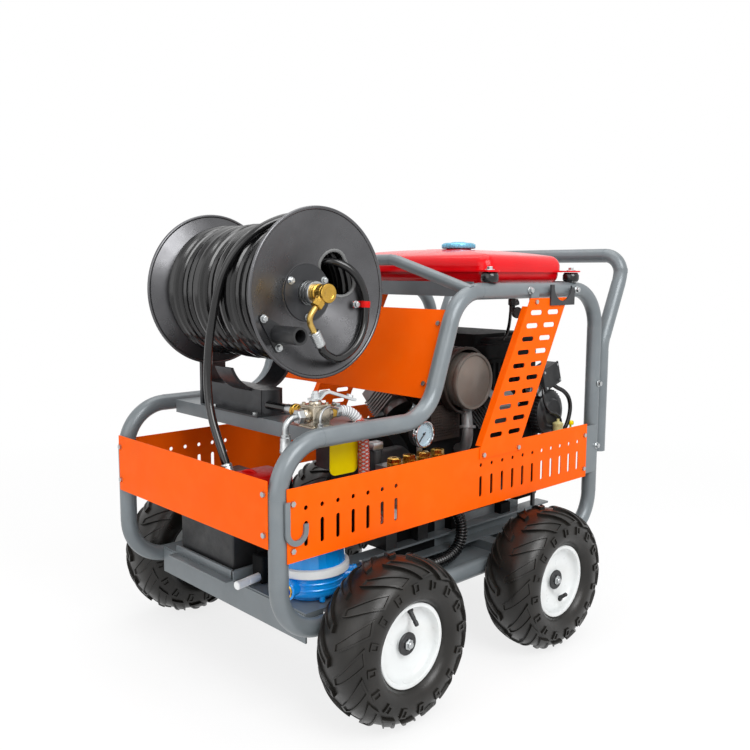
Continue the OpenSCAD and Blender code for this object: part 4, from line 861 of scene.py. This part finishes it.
class JETTER_OT_swivel(bpy.types.Operator):
    """Build the brass swivel, its elbow and the ferrules on the hose ends"""

    bl_idname = "jetter.swivel"
    bl_label = "Swivel and ferrules"

    def execute(self, context):
        collar = [(25, 0.3), (26, 1.2), (26, 9), (24.2, 9.6), (24.2, 12.6), (26, 13.2), (26, 19), (24.2, 19.6),
            (24.2, 22.6), (26, 23.2), (26, 31), (24.5, 33)]
        dress(settle(turned("swivel_collar", collar, steps=56), by_reel(0, 0, 0), NEAR), "zinc_steel", body="reel")
        rings = []
        for z in (11.1, 21.1):
            loop = [(24.6 + 1.5 * math.cos(a), z + 1.5 * math.sin(a))
                for a in (2 * math.pi * k / 10 for k in range(10))]
            rings.append(turned("seal", loop, closed=True, steps=56))
        dress(settle(gather("swivel_seals", rings), by_reel(0, 0, 0), NEAR), "rubber_black", body="reel")
        core = [(19, 33.2), (20, 34.2), (20, 43), (17.5, 45), (17.5, 50), (19, 51), (19, 62.5), (17.6, 63.5),
            (17.6, 65), (20.2, 65.6), (20.5, 67), (20.5, 71.4), (19.4, 72.8), (13, 73), (12, 72.2)]
        away = Vector((-45, 0, -52)).normalized()
        boss = [(12, 10), (12, 21), (11, 22.2)]
        brass = [settle(turned("core", core, steps=48), by_reel(0, 0, 0), NEAR),
            settle(turned("boss", boss, steps=32), by_reel(0, 58, 0), away),
            settle(hex_head("union", 26, 14), by_reel(0, 58, 0) + 22 * away, away, 0.4)]
        dress(gather("swivel_brass", brass), "brass", "reel_swivel", body="reel")
        route = rounded([by_reel(-22, 58, -25.4), by_reel(-45, 58, -52), by_reel(-12, 58, -107)], 22)
        dress(tubing("swivel_elbow", route, 13, 20), "brass", body="reel", look="yellow_zinc")
        down = Vector((33, 0, -55)).normalized()
        crimp = ferrule("crimp", 36, 12.6)
        dress(settle(copied(crimp, "whip_ferrule"), by_reel(-12, 58, -107) - 33 * down, down), "zinc_steel",
            body="reel")
        end = Vector((3, -12, -31)).normalized()
        tip = REEL + Vector(FREE_ROUTE[-1])
        nut = settle(hex_head("end_hex", 28, 20), tip + 48 * end, end)
        neck = settle(turned("end_neck", [(8, 40), (8, 49)], steps=24), tip, end)
        shell = settle(copied(crimp, "end_shell", Matrix.Diagonal((0.97, 0.97, 1.2, 1))), tip - 2 * end, end)
        fitting = dress(gather("hose_end_fitting", [shell, neck, nut]), "zinc_steel", "hose_end")
        bpy.data.objects.remove(crimp)
        return {"FINISHED"}


class JETTER_OT_tank(bpy.types.Operator):
    """Shape the fuel tank and its cap"""

    bl_idname = "jetter.tank"
    bl_label = "Fuel tank"

    def execute(self, context):
        upper = block((32.9, -290, 936.6), (364, 290, 978))
        round_edges(upper, upright, 34, 8)
        round_edges(upper, lambda m, d: m.z > 977.9, 30, 8)
        pick(upper, lambda m, d: d.z > 0.99)
        last = 1.0
        for share in (0.94, 0.86, 0.76, 0.64, 0.5, 0.34, 0.16):
            rise = 18.6 * (last ** 2.2 - share ** 2.2)
            bpy.ops.mesh.extrude_region_move(TRANSFORM_OT_translate={"value": (0, 0, rise * MM)})
            bpy.ops.transform.resize(value=(share / last, share / last, 1), center_override=(0.1985, 0, 0.98))
            last = share
        lower = block((35.9, -287, 904.6), (361, 287, 936))
        round_edges(lower, upright, 34, 8)
        round_edges(lower, lambda m, d: m.z < 904.7, 24, 5)
        seam = block((27.9, -295, 934.2), (369, 295, 938.8))
        round_edges(seam, upright, 38, 8)
        parts = [clean(upper), clean(lower), clean(seam)]
        for x, y in TANK_MOUNTS:
            y0, y1 = sorted((math.copysign(270, y), math.copysign(331, y)))
            ear = block((x - 22, y0, 934.7), (x + 22, y1, 938.5))
            round_edges(ear, lambda m, d: upright(m, d) and abs(m.y) > 300, 16, 5)
            parts.append(clean(ear))
        neck = turned("neck", [(29, -14), (34, -14), (34, -2), (33, -0.6), (31, 0), (29, 0)], closed=True, steps=48)
        parts.append(settle(neck, (*TANK_CAP, 997.5)))
        dress(gather("tank_shell", parts), "tank_red", "fuel_tank")
        rubber = turned("rubber", [(17, 0), (19, 2), (21.5, 7), (21.5, 17), (19, 22), (17, 24.6)], steps=36)
        mounts = scatter("tank_rubbers", rubber, [(x, y, 909.2) for x, y in TANK_MOUNTS])
        dress(mounts, "rubber_black", "tank_mounts")
        bolts = scatter("tank_bolts", hex_head("bolt", 15, 6, 24), [(x, y, 938.7) for x, y in TANK_MOUNTS])
        dress(bolts, "zinc_steel")
        lid = turned("lid", [(17, 18), (20, 17.2), (22, 15.6), (36, 15.6), (40, 15), (43.5, 12.5), (44.5, 10),
            (44.5, 2), (43.5, 0.4)], steps=64)
        grip = block((43, -2.6, 1.2), (46, 2.6, 12), 1.2, 3)
        repeat(grip, 24, (0, 0, 1))
        cap = settle(clean(gather("tank_cap", [lid, grip])), (*TANK_CAP, 996.9))
        dress(cap, "cap_blue", "fuel_cap", body="fuel_cap")
        return {"FINISHED"}


# Wheels
WHEELS = {"front_near": (-384.1, -403.0), "front_far": (-384.1, 403.0), "rear_near": (141.9, -403.0),
    "rear_far": (141.9, 403.0)}
AXLE_Z = 177.5
RIM_PROFILE = [
    (12.6, 35), (19.2, 35), (20, 34.2), (20, 29.8), (21, 29), (58, 29.6), (70, 31.5), (76, 36), (78.6, 43),
    (79.4, 50), (81, 52.2), (84, 52.5), (88, 52.4), (89, 51.4), (89, 49.9), (87.5, 49.3), (82.4, 49), (82, 48),
    (82, -39), (82.4, -40), (87.5, -40.3), (89, -40.9), (89, -42.6), (88, -43.5), (81, -43.5), (79, -41), (79, 23),
    (76, 25.5), (70, 26.5), (22, 26), (20, 24.5), (20, -39), (19, -40), (12.6, -40)]
CROWN_R = 170.3
BELLY_R = 118.0
LUG_LONG, LUG_WIDE, LUG_ROOT = 74, 34, 3.0


def skin(b):
    """Radius, offset and outward direction on the tyre's skin; b turns from the crown to the bead."""
    def at(b):
        s, c = math.sin(b), math.cos(b)
        y = 70 * math.copysign(abs(s) ** (0.83 if c >= 0 else 0.42), s)
        r = BELLY_R + (CROWN_R - BELLY_R if c >= 0 else 31) * math.copysign(abs(c) ** (0.83 if c >= 0 else 1.0), c)
        return Vector((r, y))
    here, step = at(b), at(b + 0.01) - at(b - 0.01)
    return here, Vector((step.y, -step.x)).normalized()


def wrapped(obj, place):
    """Moves each point of a lug, drawn flat in millimetres, on to the tyre by place(x, y) -> (turn, belt, height)."""
    for dot in obj.data.vertices:
        x, y, z = dot.co / MM
        turn, belt, height = place(x, y)
        here, out = skin(belt)
        here = here + out * (height if z > 0.5 else height - LUG_ROOT if z > -0.5 else -LUG_ROOT)
        dot.co = placed((here.x * math.cos(turn), here.y, here.x * math.sin(turn)))
    return obj


def flat_lug(name, length, width, cells, rim):
    """A flat lug with a raised outline, 1 mm up where the outline is, 0 in the hollow and -1 below."""
    fresh()
    bpy.ops.mesh.primitive_grid_add(x_subdivisions=cells[0], y_subdivisions=cells[1], size=1)
    obj = bpy.context.object
    obj.data.transform(Matrix.Diagonal((length * MM, width * MM, 1, 1)))
    thick = obj.modifiers.new("thick", "SOLIDIFY")
    thick.thickness = 2 * MM
    thick.offset = 0
    only(obj)
    bpy.ops.object.modifier_apply(modifier="thick")
    pick(obj, lambda c, n: n.z > 0.9)
    bpy.ops.mesh.inset(thickness=rim * MM, use_boundary=True)
    bpy.ops.mesh.inset(thickness=0.9 * MM, use_boundary=True)
    bpy.ops.transform.translate(value=(0, 0, -1 * MM))
    leave()
    obj.name = name
    return obj


def around(obj, count):
    """Repeats a piece round the wheel's axle, with a copy of the other half set half a pitch on."""
    repeat(obj, count, (0, 1, 0))
    half = Matrix.Rotation(math.pi / count, 4, "Y") @ Matrix.Scale(-1, 4, (0, 1, 0))
    other = copied(obj, obj.name + "_other", half)
    return gather(obj.name, [obj, other])


def make_tyre(count):
    """One tyre about the origin, its axle along Y: carcass, swept lugs and shoulder blocks."""
    end = math.radians(152)
    profile = [skin(-end + 2 * end * i / 44)[0] for i in range(45)]
    loop = [(p.x, p.y) for p in profile] + [(84.0, 48.6), (82.6, 47.0), (82.6, -47.0), (84.0, -48.6)]
    carcass = turned("carcass", loop, closed=True, steps=96)
    carcass.data.transform(Matrix.Rotation(math.radians(-90), 4, "X"))
    lug = flat_lug("lug", LUG_LONG, LUG_WIDE, (10, 3), 4.4)

    def sweep(x, y):
        q, v = x / LUG_LONG + 0.5, y / (LUG_WIDE / 2)
        belt = math.radians(3 + 60 * q + 4 * v * q)
        turn = -math.radians(22) * q ** 1.15 + v * (8 + 11 * q) / 165
        return turn, belt, 7.0 - 1.0 * q
    around(wrapped(lug, sweep), count)
    knob = flat_lug("knob", 20, 18, (3, 3), 3.6)

    def stand(x, y):
        return y / 150 - math.radians(30), math.radians(80) + x / 62, 3.6
    around(wrapped(knob, stand), count)
    return clean(gather("tyre", [carcass, lug, knob]), 25)


class JETTER_OT_wheels(bpy.types.Operator):
    """Fit the treaded tyres, white rims, valves and axle nuts"""

    bl_idname = "jetter.wheels"
    bl_label = "Wheels"

    def execute(self, context):
        tyre = make_tyre(context.scene.jetter_sizes.lugs)
        rim = turned("rim", RIM_PROFILE, closed=True, steps=72)
        stem = turned("stem", [(7.5, -3), (7.5, 1), (5.2, 4), (4.6, 20), (4.0, 21), (4.0, 23), (4.8, 23.6),
            (4.8, 33), (3.6, 34.5)], steps=16)
        boss = turned("boss", [(12.8, 35.2), (23, 35.2), (24, 36), (24, 39), (22.6, 40.5), (12.8, 40.5)],
            closed=True, steps=36)
        nut = gather("nut",
            [settle(hex_head("nut_hex", 24, 9), (0, 0, 35.3)),
            turned("nut_tip", [(7, 36), (7, 49), (5.8, 50.4)], steps=20)])
        leans = {"front_near": 78, "rear_near": -62, "front_far": 20, "rear_far": 150}
        nuts = []
        for name, (x, y) in WHEELS.items():
            body = "wheel_" + name
            hub = Matrix.Translation(placed((x, y, AXLE_Z)))
            out = Matrix.Rotation(math.radians(90 if y < 0 else -90), 4, "X")
            dress(copied(tyre, "tyre_tread_" + name, hub), "tyre_rubber", "tyre_" + name, body=body)
            dress(copied(rim, "rim_dish_" + name, hub @ out), "rim_white", "rim_" + name, body=body)
            lean = Matrix.Rotation(math.radians(leans[name]), 4, "Z")
            foot = Matrix.Translation(placed((66, 0, 31))) @ Matrix.Rotation(math.radians(-42), 4, "Y")
            dress(copied(stem, "tyre_valve_" + name, hub @ out @ lean @ foot), "black_plastic", body=body)
            dress(copied(boss, "hub_ring_" + name, hub @ out), "black_plastic", body=body)
            nuts.append(copied(nut, "nut_" + name, hub @ out))
        dress(gather("axle_nut_set", nuts), "axle_steel", "axle_nuts", look="zinc_steel")
        for used in (tyre, rim, stem, boss, nut):
            bpy.data.objects.remove(used)
        return {"FINISHED"}


class JETTER_OT_valve(bpy.types.Operator):
    """Build the ball valve, its lever and the fittings on its ports"""

    bl_idname = "jetter.valve"
    bl_label = "Valve and fittings"

    def execute(self, context):
        x, y, z = VALVE
        body = [block((x - 22.5, y - 22.5, 612), (x + 22.5, y + 22.5, 655), 3, 3),
            block((x - 26, y - 24, 609.9), (x + 26, y + 24, 614), 1.2),
            block((x - 24, y - 23, 653), (x + 24, y + 23, 658), 1.5),
            settle(turned("gland", [(14, 0), (14, 4), (12, 6.5)], steps=32), (x, y, 657.5))]
        for way in ((1, 0, 0), (-1, 0, 0), (0, 1, 0)):
            port = turned("port", [(16, 18), (16, 27), (17, 28), (17, 34.5), (15.8, 36.6)], steps=40)
            body.append(settle(port, VALVE, way))
        for dx in (-17, 17):
            for dy in (-17, 17):
                body.append(settle(hex_head("stud", 8, 3.5), (x + dx, y + dy, 658)))
        dress(gather("valve_housing", body), "zinc_steel", "valve_body", look="nickel")
        under = [(-15, 666), (10, 666), (23, 676), (33, 678), (108, 653)]
        over = [(110, 658.5), (34, 684), (20, 682), (8, 671), (-15, 671)]
        lever = [sheet_cut("arm", [(x + dx, top) for dx, top in under + over], y - 7.5, y + 7.5),
            settle(hex_head("stem_nut", 18, 8, 23), (x, y, 669)),
            settle(turned("stem", [(6, 660), (6, 684), (5, 685)], steps=20), (x, y, 0)),
            settle(hex_head("tip_nut", 15, 8), (x + 95, y, 660), (0.34, 0, 0.94))]
        dress(gather("valve_handle", lever), "zinc_steel", "valve_lever", body="valve_lever", look="bright_zinc")
        bend = rounded([(x - 37, y, z), (x - 78, y, z), (x - 78, y, 600)], 22)
        elbow = [tubing("bend", bend, 14, 20), settle(hex_head("elbow_nut", 31, 13), (x - 36, y, z), (-1, 0, 0)),
            settle(turned("sleeve", [(9.4, 0), (9.4, 5), (11.4, 6.4), (11.8, 31), (12.6, 32), (12.6, 37),
            (11.4, 39.5)], steps=32), (x - 78, y, 603), (0, 0, -1))]
        dress(gather("valve_elbow", elbow), "zinc_steel", "hose_fittings")
        rings = [(13, 0), (13, 3), (15.2, 4), (15.2, 10), (13.2, 11), (13.2, 14), (15.2, 15), (15.2, 21),
            (13.2, 22), (13.2, 25), (15.2, 26), (15.2, 33), (12, 35)]
        brass = [settle(turned("coupling", rings, steps=36), (x, y + 36.7, z), (0, 1, 0)),
            settle(hex_head("nipple", 31, 11), (x + 36.4, y, z), (1, 0, 0), 0.5),
            settle(turned("barb", [(10.5, 46), (10.5, 51), (9, 52), (9, 58)], steps=28), VALVE, (1, 0, 0))]
        dress(gather("valve_brass", brass), "brass")
        rod = smoothed([(x - 12, -270, 613), (x - 13, -270, 633), (x - 4, -268, 648), (x + 15, -264, 653),
            (x + 34, -258, 649), (x + 52, -251, 643)], 5)
        bits = [tubing("rod", rod, 5, 12), clamp("band", 11.8, (x + 59, y, z), (1, 0, 0), (0, 0, 1)),
            settle(hex_head("rod_nut", 12, 6, 16), (x - 12, -270, 613.7)),
            settle(turned("feed_sleeve", [(11, 0), (11.6, 1), (11.6, 21), (10.6, 22.6)], steps=28), (x, -166, z),
            (0, 1, 0))]
        dress(gather("valve_clamps", bits), "zinc_steel")
        plate = block((-427, -250, 499), (-349, -247, 606), name="plate")
        round_edges(plate, lambda m, d: abs(d.y) > 0.9 and m.z < 500, 14, 5)
        dress(clean(plate), "relay_red", look="plate_yellow")
        mass = [block((-420, -246.7, 508), (-354, -190, 604), 5, 3),
            settle(turned("canister", [(15, 0), (17, 2), (17, 50), (15, 54)], steps=32), (-224, -174, 462.8))]
        dress(gather("regulator_box", mass), "black_plastic")
        top = block((-240, -186, 517), (-208, -162, 536), 3, 2, name="unloader_cap")
        dress(top, "zinc_steel")
        return {"FINISHED"}


class JETTER_OT_filter(bpy.types.Operator):
    """Turn the water filter: blue bowl, white seal and port bushes"""

    bl_idname = "jetter.filter"
    bl_label = "Water filter"

    def execute(self, context):
        base = [(50, 0), (52.7, 2), (52.7, 12), (64, 13), (71, 15), (73.4, 19), (73.8, 27), (75.4, 28.5),
            (75.8, 31), (74.6, 33), (75.2, 41), (77, 42.5), (77.4, 45), (76.2, 47), (78, 54), (80.5, 56),
            (80.5, 61)]
        upper = [(76.8, 74), (76.5, 78), (75.6, 86), (69, 163), (66, 170), (58, 173.6), (0, 174)]
        bowl = [turned("base", base, steps=72, angle=30), turned("upper", upper, steps=28, angle=8)]
        for turn in (-36, FILTER_INLET_TURN):
            a = math.radians(turn)
            way = Vector((math.cos(a), math.sin(a), 0))
            inner = 13 if turn == FILTER_INLET_TURN else 0
            boss = [(inner, 62), (20, 62), (20, 92), (21.5, 93), (21.5, 100), (20, 101.5), (inner, 101.5)]
            bowl.append(settle(turned("boss", boss, closed=True, steps=40), (0, 0, FILTER_PORT_UP), way))
        nub = turned("nub", [(5.5, 0), (6.5, 1), (6.5, 14)], steps=20)
        bowl.append(settle(nub, (-18, -62, 2)))
        dress(settle(gather("filter_bowl", bowl), FILTER), "filter_blue", "water_filter")
        seal = [(72, 58.6), (83.4, 58.8), (85, 60.4), (85.3, 66), (85.3, 71), (84.4, 75.4), (81, 77.4), (72, 77.6)]
        dress(settle(turned("filter_seal", seal, closed=True, steps=72), FILTER), "filter_blue", look="seal_white")
        a = math.radians(FILTER_INLET_TURN)
        bush = turned("filter_bush", [(13, 94), (17, 94), (17, 102.4), (16, 103.4), (13.4, 103.4)], closed=True,
            steps=36)
        settle(bush, FILTER + Vector((0, 0, FILTER_PORT_UP)), (math.cos(a), math.sin(a), 0))
        dress(bush, "brass")
        return {"FINISHED"}


class JETTER_OT_pump(bpy.types.Operator):
    """Dress the pump: brass caps, bolts and the pressure gauge"""

    bl_idname = "jetter.pump"
    bl_label = "Pump and gauge"

    def execute(self, context):
        base = turned("base", [(16.6, 0.3), (17.5, 1.2), (17.5, 4), (16, 5), (16, 6), (17.5, 7), (17.5, 9.4)],
            steps=36)
        head = hex_head("head", 33, 10)
        settle(head, (0, 0, 9.2))
        pick(head, lambda c, n: n.z > 0.9 and c.z > 20)
        bpy.ops.mesh.inset(thickness=6 * MM)
        bpy.ops.mesh.extrude_region_move(TRANSFORM_OT_translate={"value": (0, 0, -6 * MM)})
        leave()
        cap = gather("cap", [base, clean(head, 25)])
        spots = [(-226.1 + 49 * i, -240, 487.6) for i in range(4)]
        dress(scatter("pump_cap_set", cap, spots, step=0.3), "brass", "pump_caps")
        spots = [(-232 + 40.5 * i, -256.2, z) for i in range(5) for z in (360, 398, 474)]
        dress(scatter("pump_bolts", hex_head("bolt", 13, 6, 17), spots, NEAR, 0.4), "zinc_steel")
        case = turned("gauge_case", [(28, 0), (31, 3), (31, 19)], steps=56)
        stem = settle(turned("gauge_stem", [(7, 0), (7, 26)], steps=20), (0, -20, 10), (0, -1, 0))
        dress(settle(gather("gauge_shell", [case, stem]), GAUGE, NEAR), "black_plastic")
        bezel = [(28, 18.6), (32.6, 18.6), (33, 19.4), (33, 27.6), (31.8, 30), (29.6, 30), (28.4, 28.2), (28, 22)]
        dress(settle(turned("gauge_bezel", bezel, closed=True, steps=64), GAUGE, NEAR), "gauge_chrome",
            "pressure_gauge")
        face = turned("gauge_face", [(28.6, 21.6), (28.6, 22.3)], steps=56)
        dress(settle(face, GAUGE, NEAR), "gauge_chrome", look="dial_face")
        marks = []
        for i in range(31):
            long = 5.5 if i % 5 == 0 else 3.2
            mark = block((26 - long, -0.35, 22.2), (26, 0.35, 22.7))
            mark.data.transform(Matrix.Rotation(math.radians(-45 + 9 * i), 4, "Z"))
            marks.append(mark)
        dress(settle(gather("gauge_marks", marks), GAUGE, NEAR), "needle_black")
        return {"FINISHED"}


class JETTER_OT_engine(bpy.types.Operator):
    """Dress the engine: muffler end, guards, control box, cables and dipstick"""

    bl_idname = "jetter.engine"
    bl_label = "Engine trim"

    def execute(self, context):
        end, back = (MUFFLER_X, -198, MUFFLER_Z), (MUFFLER_X, -58, MUFFLER_Z)
        disc = turned("muffler_disc", [(62, 0.3), (66, 1), (66, 2.2), (60, 2.6), (58, 4.2), (22, 5), (20, 6.4),
            (0, 6.6)], steps=72)
        dress(settle(disc, end, NEAR), "muffler_grey", look="muffler_end")
        rim = turned("muffler_rim", [(65, -6), (73.2, -6), (74, -5), (74, 4), (72.6, 6.2), (69.4, 6.6), (66.4, 5),
            (65, 2)], closed=True, steps=72)
        dress(settle(rim, end, NEAR), "muffler_grey")
        drum = turned("muffler_drum", [(81, 0), (85.4, 0), (86, 1), (86, 112), (88, 114), (88, 119), (86.6, 120.6),
            (81, 120)], closed=True, steps=72)
        dress(settle(drum, back, NEAR), "muffler_grey", look="shroud_brown")
        slots = []
        for turn in range(96, 246, 15):
            for depth in (92, 70):
                slot = block((84.6, -8, depth - 3), (86.6, 8, depth + 3), 0.8)
                slot.data.transform(Matrix.Rotation(math.radians(turn), 4, "Z"))
                slots.append(slot)
        dress(settle(gather("drum_slots", slots), back, NEAR), "engine_black", look="matt_black")
        pipe = smoothed([(112, -160, 596), (106, -174, 564), (99, -184, 532), (97, -185, 502), (98, -177, 480),
            (102, -150, 466)], 6)
        flange = settle(turned("flange", [(22, 0), (22, 7)], steps=32), (98.5, -184, 528), (0.2, 0.2, 1))
        dress(gather("exhaust_pipe", [tubing("pipe", pipe, 30, 20), flange]), "cast_alloy")
        cover = [block((205, -168, 540), (426, 130, 757), 16, 4), block((292, -204, 300), (392, -150, 566), 10, 3),
            block((186, -176, 700), (330, -120, 742), 8, 3)]
        cover += [block((214 + 22 * i, -174, 560), (222 + 22 * i, -166, 690), 2, 2) for i in range(8)]
        dress(gather("engine_cover", cover), "engine_black", look="matt_black")
        face = turned("face", [(58, 0), (60, 2), (60, 30), (56, 34), (40, 36), (36, 42)], steps=48)
        tooth = block((58, -2.4, 4), (64, 2.4, 28), 1)
        repeat(tooth, 36, (0, 0, 1))
        hub = turned("hub", [(30, -60), (30, 1)], steps=32)
        disc = settle(gather("flywheel_disc", [face, clean(tooth), hub]), (384, -212, 546), NEAR)
        dress(disc, "engine_black")
        link = [settle(turned("carb", [(15, 0), (17, 2), (17, 18), (13, 20), (13, 30), (16, 31), (16, 40), (0, 41)],
            steps=28), (334, -205, 612), NEAR), block((318, -236, 596), (352, -230, 634), 2)]
        dress(gather("throttle_link", link), "zinc_steel")
        guard = perforated("guard", 112, 92, (16, 13), 1.6)
        settle(guard, (50, -151, 546), NEAR)
        dress(guard, "muffler_grey", look="shroud_brown")
        lean = Matrix.Translation(placed((366, -232, 650))) @ Matrix.Rotation(math.radians(-18), 4, "Y")
        box = gather("box",
            [block((-38, -25, -30), (38, 23, 30), 7, 3), block((-39, -27.5, -31), (39, -22, 31), 2)])
        box.data.transform(lean)
        post = block((350, -216, 277), (364, -208, 640), 2)
        dress(gather("control_case", [clean(box), post]), "black_plastic", "control_box")
        screws = []
        for dx, dz in ((-31, 23), (31, 23), (-31, -23), (31, -23)):
            screw = settle(hex_head("screw", 7.5, 2.6), (dx, -27.4, dz), NEAR)
            screw.data.transform(lean)
            screws.append(screw)
        dress(gather("control_screws", screws), "zinc_steel")
        runs = (("box_cable", 12, [(384, -246, 626), (396, -256, 616), (420, -262, 604), (442, -264, 584),
            (452, -264, 556), (447, -263, 524), (435, -260, 498), (420, -250, 478)]),
            ("coil_cable", 8, [(340, -248, 622), (332, -256, 600), (338, -260, 572), (356, -262, 552),
            (382, -264, 544), (404, -264, 528), (416, -258, 506), (420, -250, 480)]),
            ("fuel_line", 9, [(246, -206, 846), (250, -200, 828), (258, -192, 806), (268, -180, 782),
            (272, -168, 760), (262, -150, 730), (250, -138, 712)]))
        for name, width, route in runs:
            dress(tubing(name, smoothed(route, 6), width, 16), "rubber_black")
        cup = turned("fuel_cup", [(9, 0), (13, 3), (14, 10), (14, 30), (15, 31), (15, 36), (8, 40), (4, 41),
            (4, 48)], steps=32)
        dress(settle(cup, (388, -268, 482)), "relay_red", look="cup_yellow")
        dip = turned("dipstick", [(3, -30), (3, 0), (8, 1), (9, 3), (9, 9), (7, 12)], steps=20)
        dress(settle(dip, (457, -264, 504)), "relay_red", look="plate_yellow")
        tap = [settle(turned("tap_stem", [(8, 0), (8, 18), (11, 20), (11, 34), (7, 37), (7, 48)], steps=24),
            (246, -208, 828)),
            settle(turned("tap_knob", [(6, 0), (6, 10), (14, 12), (15, 14), (15, 20), (12, 23)], steps=24),
            (246, -214, 832), (-0.35, -0.9, -0.25)),
            settle(turned("tap_nut", [(9, 0), (9, 12)], steps=6), (256, -206, 852), (0.8, -0.5, 0.3))]
        dress(gather("tap_drop", tap), "black_plastic")
        return {"FINISHED"}


def half_ring(centre, radius, steps):
    """The lower half of a circle from left to right, as (x, z) in millimetres."""
    turns = [math.pi * (1 + k / steps) for k in range(steps + 1)]
    return [(centre[0] + radius * math.cos(a), centre[1] + radius * math.sin(a)) for a in turns]


class JETTER_OT_trim(bpy.types.Operator):
    """Add hooks, frame bolts, the relay cover and the battery"""

    bl_idname = "jetter.trim"
    bl_label = "Frame trim"

    def execute(self, context):
        bolt = hex_head("bolt", 14, 6.5, 19)
        spots = [(158, -329.3, 889), (364, -329.3, 889), (490, -329.3, 626), (490, -329.3, 450)]
        bolts = []
        for i, at in enumerate(spots):
            bolts.append(settle(copied(bolt, "frame_bolt"), at, NEAR, 0.5 * i))
            bolts.append(settle(copied(bolt, "frame_bolt"), (at[0], -at[1], at[2]), (0, 1, 0), 0.4 * i))
        dress(gather("frame_bolts", bolts), "zinc_steel")
        bpy.data.objects.remove(bolt)
        curl, inner = half_ring((-584.1, 431.6), 28, 16), half_ring((-584.1, 431.6), 17, 16)
        flat = [(-612.1, 493.6), *curl, (-556.1, 443.6), (-567.1, 443.6), *reversed(inner), (-601.1, 493.6)]
        dress(sheet_cut("j_hook_plate", flat, -336.8, -332.2), "frame_paint", "hose_hooks")
        slot = half_ring((287, 900), 39, 20)
        flat = [(234, 903), (234, 850), (340, 850), (340, 894), (328, 896), *reversed(slot), (248, 903)]
        dress(sheet_cut("u_hook_plate", flat, -339.4, -335), "frame_paint", look="hub_dark")
        dress(block((-20, -182, 206), (330, -177, 300), 1, name="bed_skirt"), "frame_paint")
        # The second sheet, behind the slots of the near side panel and in front of the filter, is painted shade: a
        # black sheet set where there is only shaded interior.
        dark = [block((-160, -182, 206), (-20.2, -177, 300), 1), block((-597, -304, 379), (-336, -300, 503), 1)]
        dress(gather("dark_plates_and_painted_shade", dark), "black_plastic", look="matt_black")
        sill = [block((-300, -297, 204), (432, -178, 207), 0.8), block((-300, 178, 204), (432, 297, 207), 0.8)]
        dress(gather("sill_sheets", sill), "frame_paint")
        cover = block((-532, -118, 420), (-426, -24, 486.6), 7, 3)
        ribs = [block((-520 + 17 * i, -119.4, 430), (-512 + 17 * i, -116, 476), 1) for i in range(6)]
        dress(gather("relay_box", [cover, *ribs]), "relay_red", "relay_cover")
        stand = [block((-470, -108, 234.8), (-436, -36, 421), 3), block((-500, -100, 236), (-470, -60, 300), 5, 3)]
        dress(gather("relay_stand", stand), "engine_black", look="matt_black")
        tray = [block((-534, -34, 234.8), (-526, 216, 258), 1.5), block((-534, -36, 234.8), (-346, -26, 258), 1.5),
            block((-556, -34, 234.8), (-530, 216, 238), 1)]
        dress(gather("battery_tray", tray), "frame_paint")
        tube = turned("drain_tube", [(8, 0), (9.5, 1.5), (9.5, 30), (8.6, 31), (8.6, 34), (9.5, 35), (9.5, 92),
            (8, 94)], steps=28)
        dress(settle(tube, (-566, -96, 250), (1, 0.15, 0.02)), "zinc_steel", look="seal_white")
        case = [block((-522, -18, 234.8), (-350, 208, 414), 5, 3), block((-525, -21, 413), (-347, 211, 433), 4, 2),
            block((-500, 20, 431), (-372, 170, 439.4), 3, 2)]
        case += [block((-524, -17, 396 + 6 * i), (-348, 207, 399 + 6 * i), 1) for i in range(2)]
        dress(gather("battery_case", case), "black_plastic", "battery")
        posts = [settle(turned("post", [(8, 0), (7.4, 16), (6.4, 17)], steps=24), (x, y, 432))
            for x, y in ((-505, 4), (-505, 186))]
        posts += [block((-448, -22, 439), (-426, 212, 443), 0.6), block((-448, -23, 300), (-426, -20, 443), 0.6)]
        dress(gather("battery_metal", posts), "zinc_steel")
        lead = smoothed([(-505, 4, 446), (-507, -6, 462), (-508, -24, 474), (-506, -44, 486), (-500, -62, 490),
            (-492, -74, 482)], 5)
        dress(tubing("battery_lead", lead, 9, 16), "relay_red")
        return {"FINISHED"}


class JETTER_PT_panel(bpy.types.Panel):
    """Lists the steps that dress the jetter"""

    bl_idname = "JETTER_PT_panel"
    bl_label = "Drain jetter"
    bl_space_type = "VIEW_3D"
    bl_region_type = "UI"
    bl_category = "Jetter"

    def draw(self, context):
        for group in (context.scene.jetter_colours, context.scene.jetter_sizes):
            box = self.layout.box()
            for key in group.bl_rna.properties.keys():
                if key not in ("rna_type", "name"):
                    box.prop(group, key)
        for step in STEPS:
            self.layout.operator(step.bl_idname)


STEPS = (JETTER_OT_finishes, JETTER_OT_stage, JETTER_OT_free_hose, JETTER_OT_wound_hose, JETTER_OT_held_hoses,
    JETTER_OT_wheels, JETTER_OT_reel, JETTER_OT_swivel, JETTER_OT_tank, JETTER_OT_valve, JETTER_OT_filter,
    JETTER_OT_pump, JETTER_OT_engine, JETTER_OT_trim)
CLASSES = (JetterColours, JetterSizes, *STEPS, JETTER_PT_panel)


def register():
    for item in CLASSES:
        bpy.utils.register_class(item)
    bpy.types.Scene.jetter_colours = bpy.props.PointerProperty(type=JetterColours)
    bpy.types.Scene.jetter_sizes = bpy.props.PointerProperty(type=JetterSizes)


def unregister():
    del bpy.types.Scene.jetter_sizes
    del bpy.types.Scene.jetter_colours
    for item in reversed(CLASSES):
        bpy.utils.unregister_class(item)


def main():
    register()
    fresh()
    for step in STEPS:
        group, call = step.bl_idname.split(".")
        getattr(getattr(bpy.ops, group), call)()


if __name__ == "__main__":
    main()
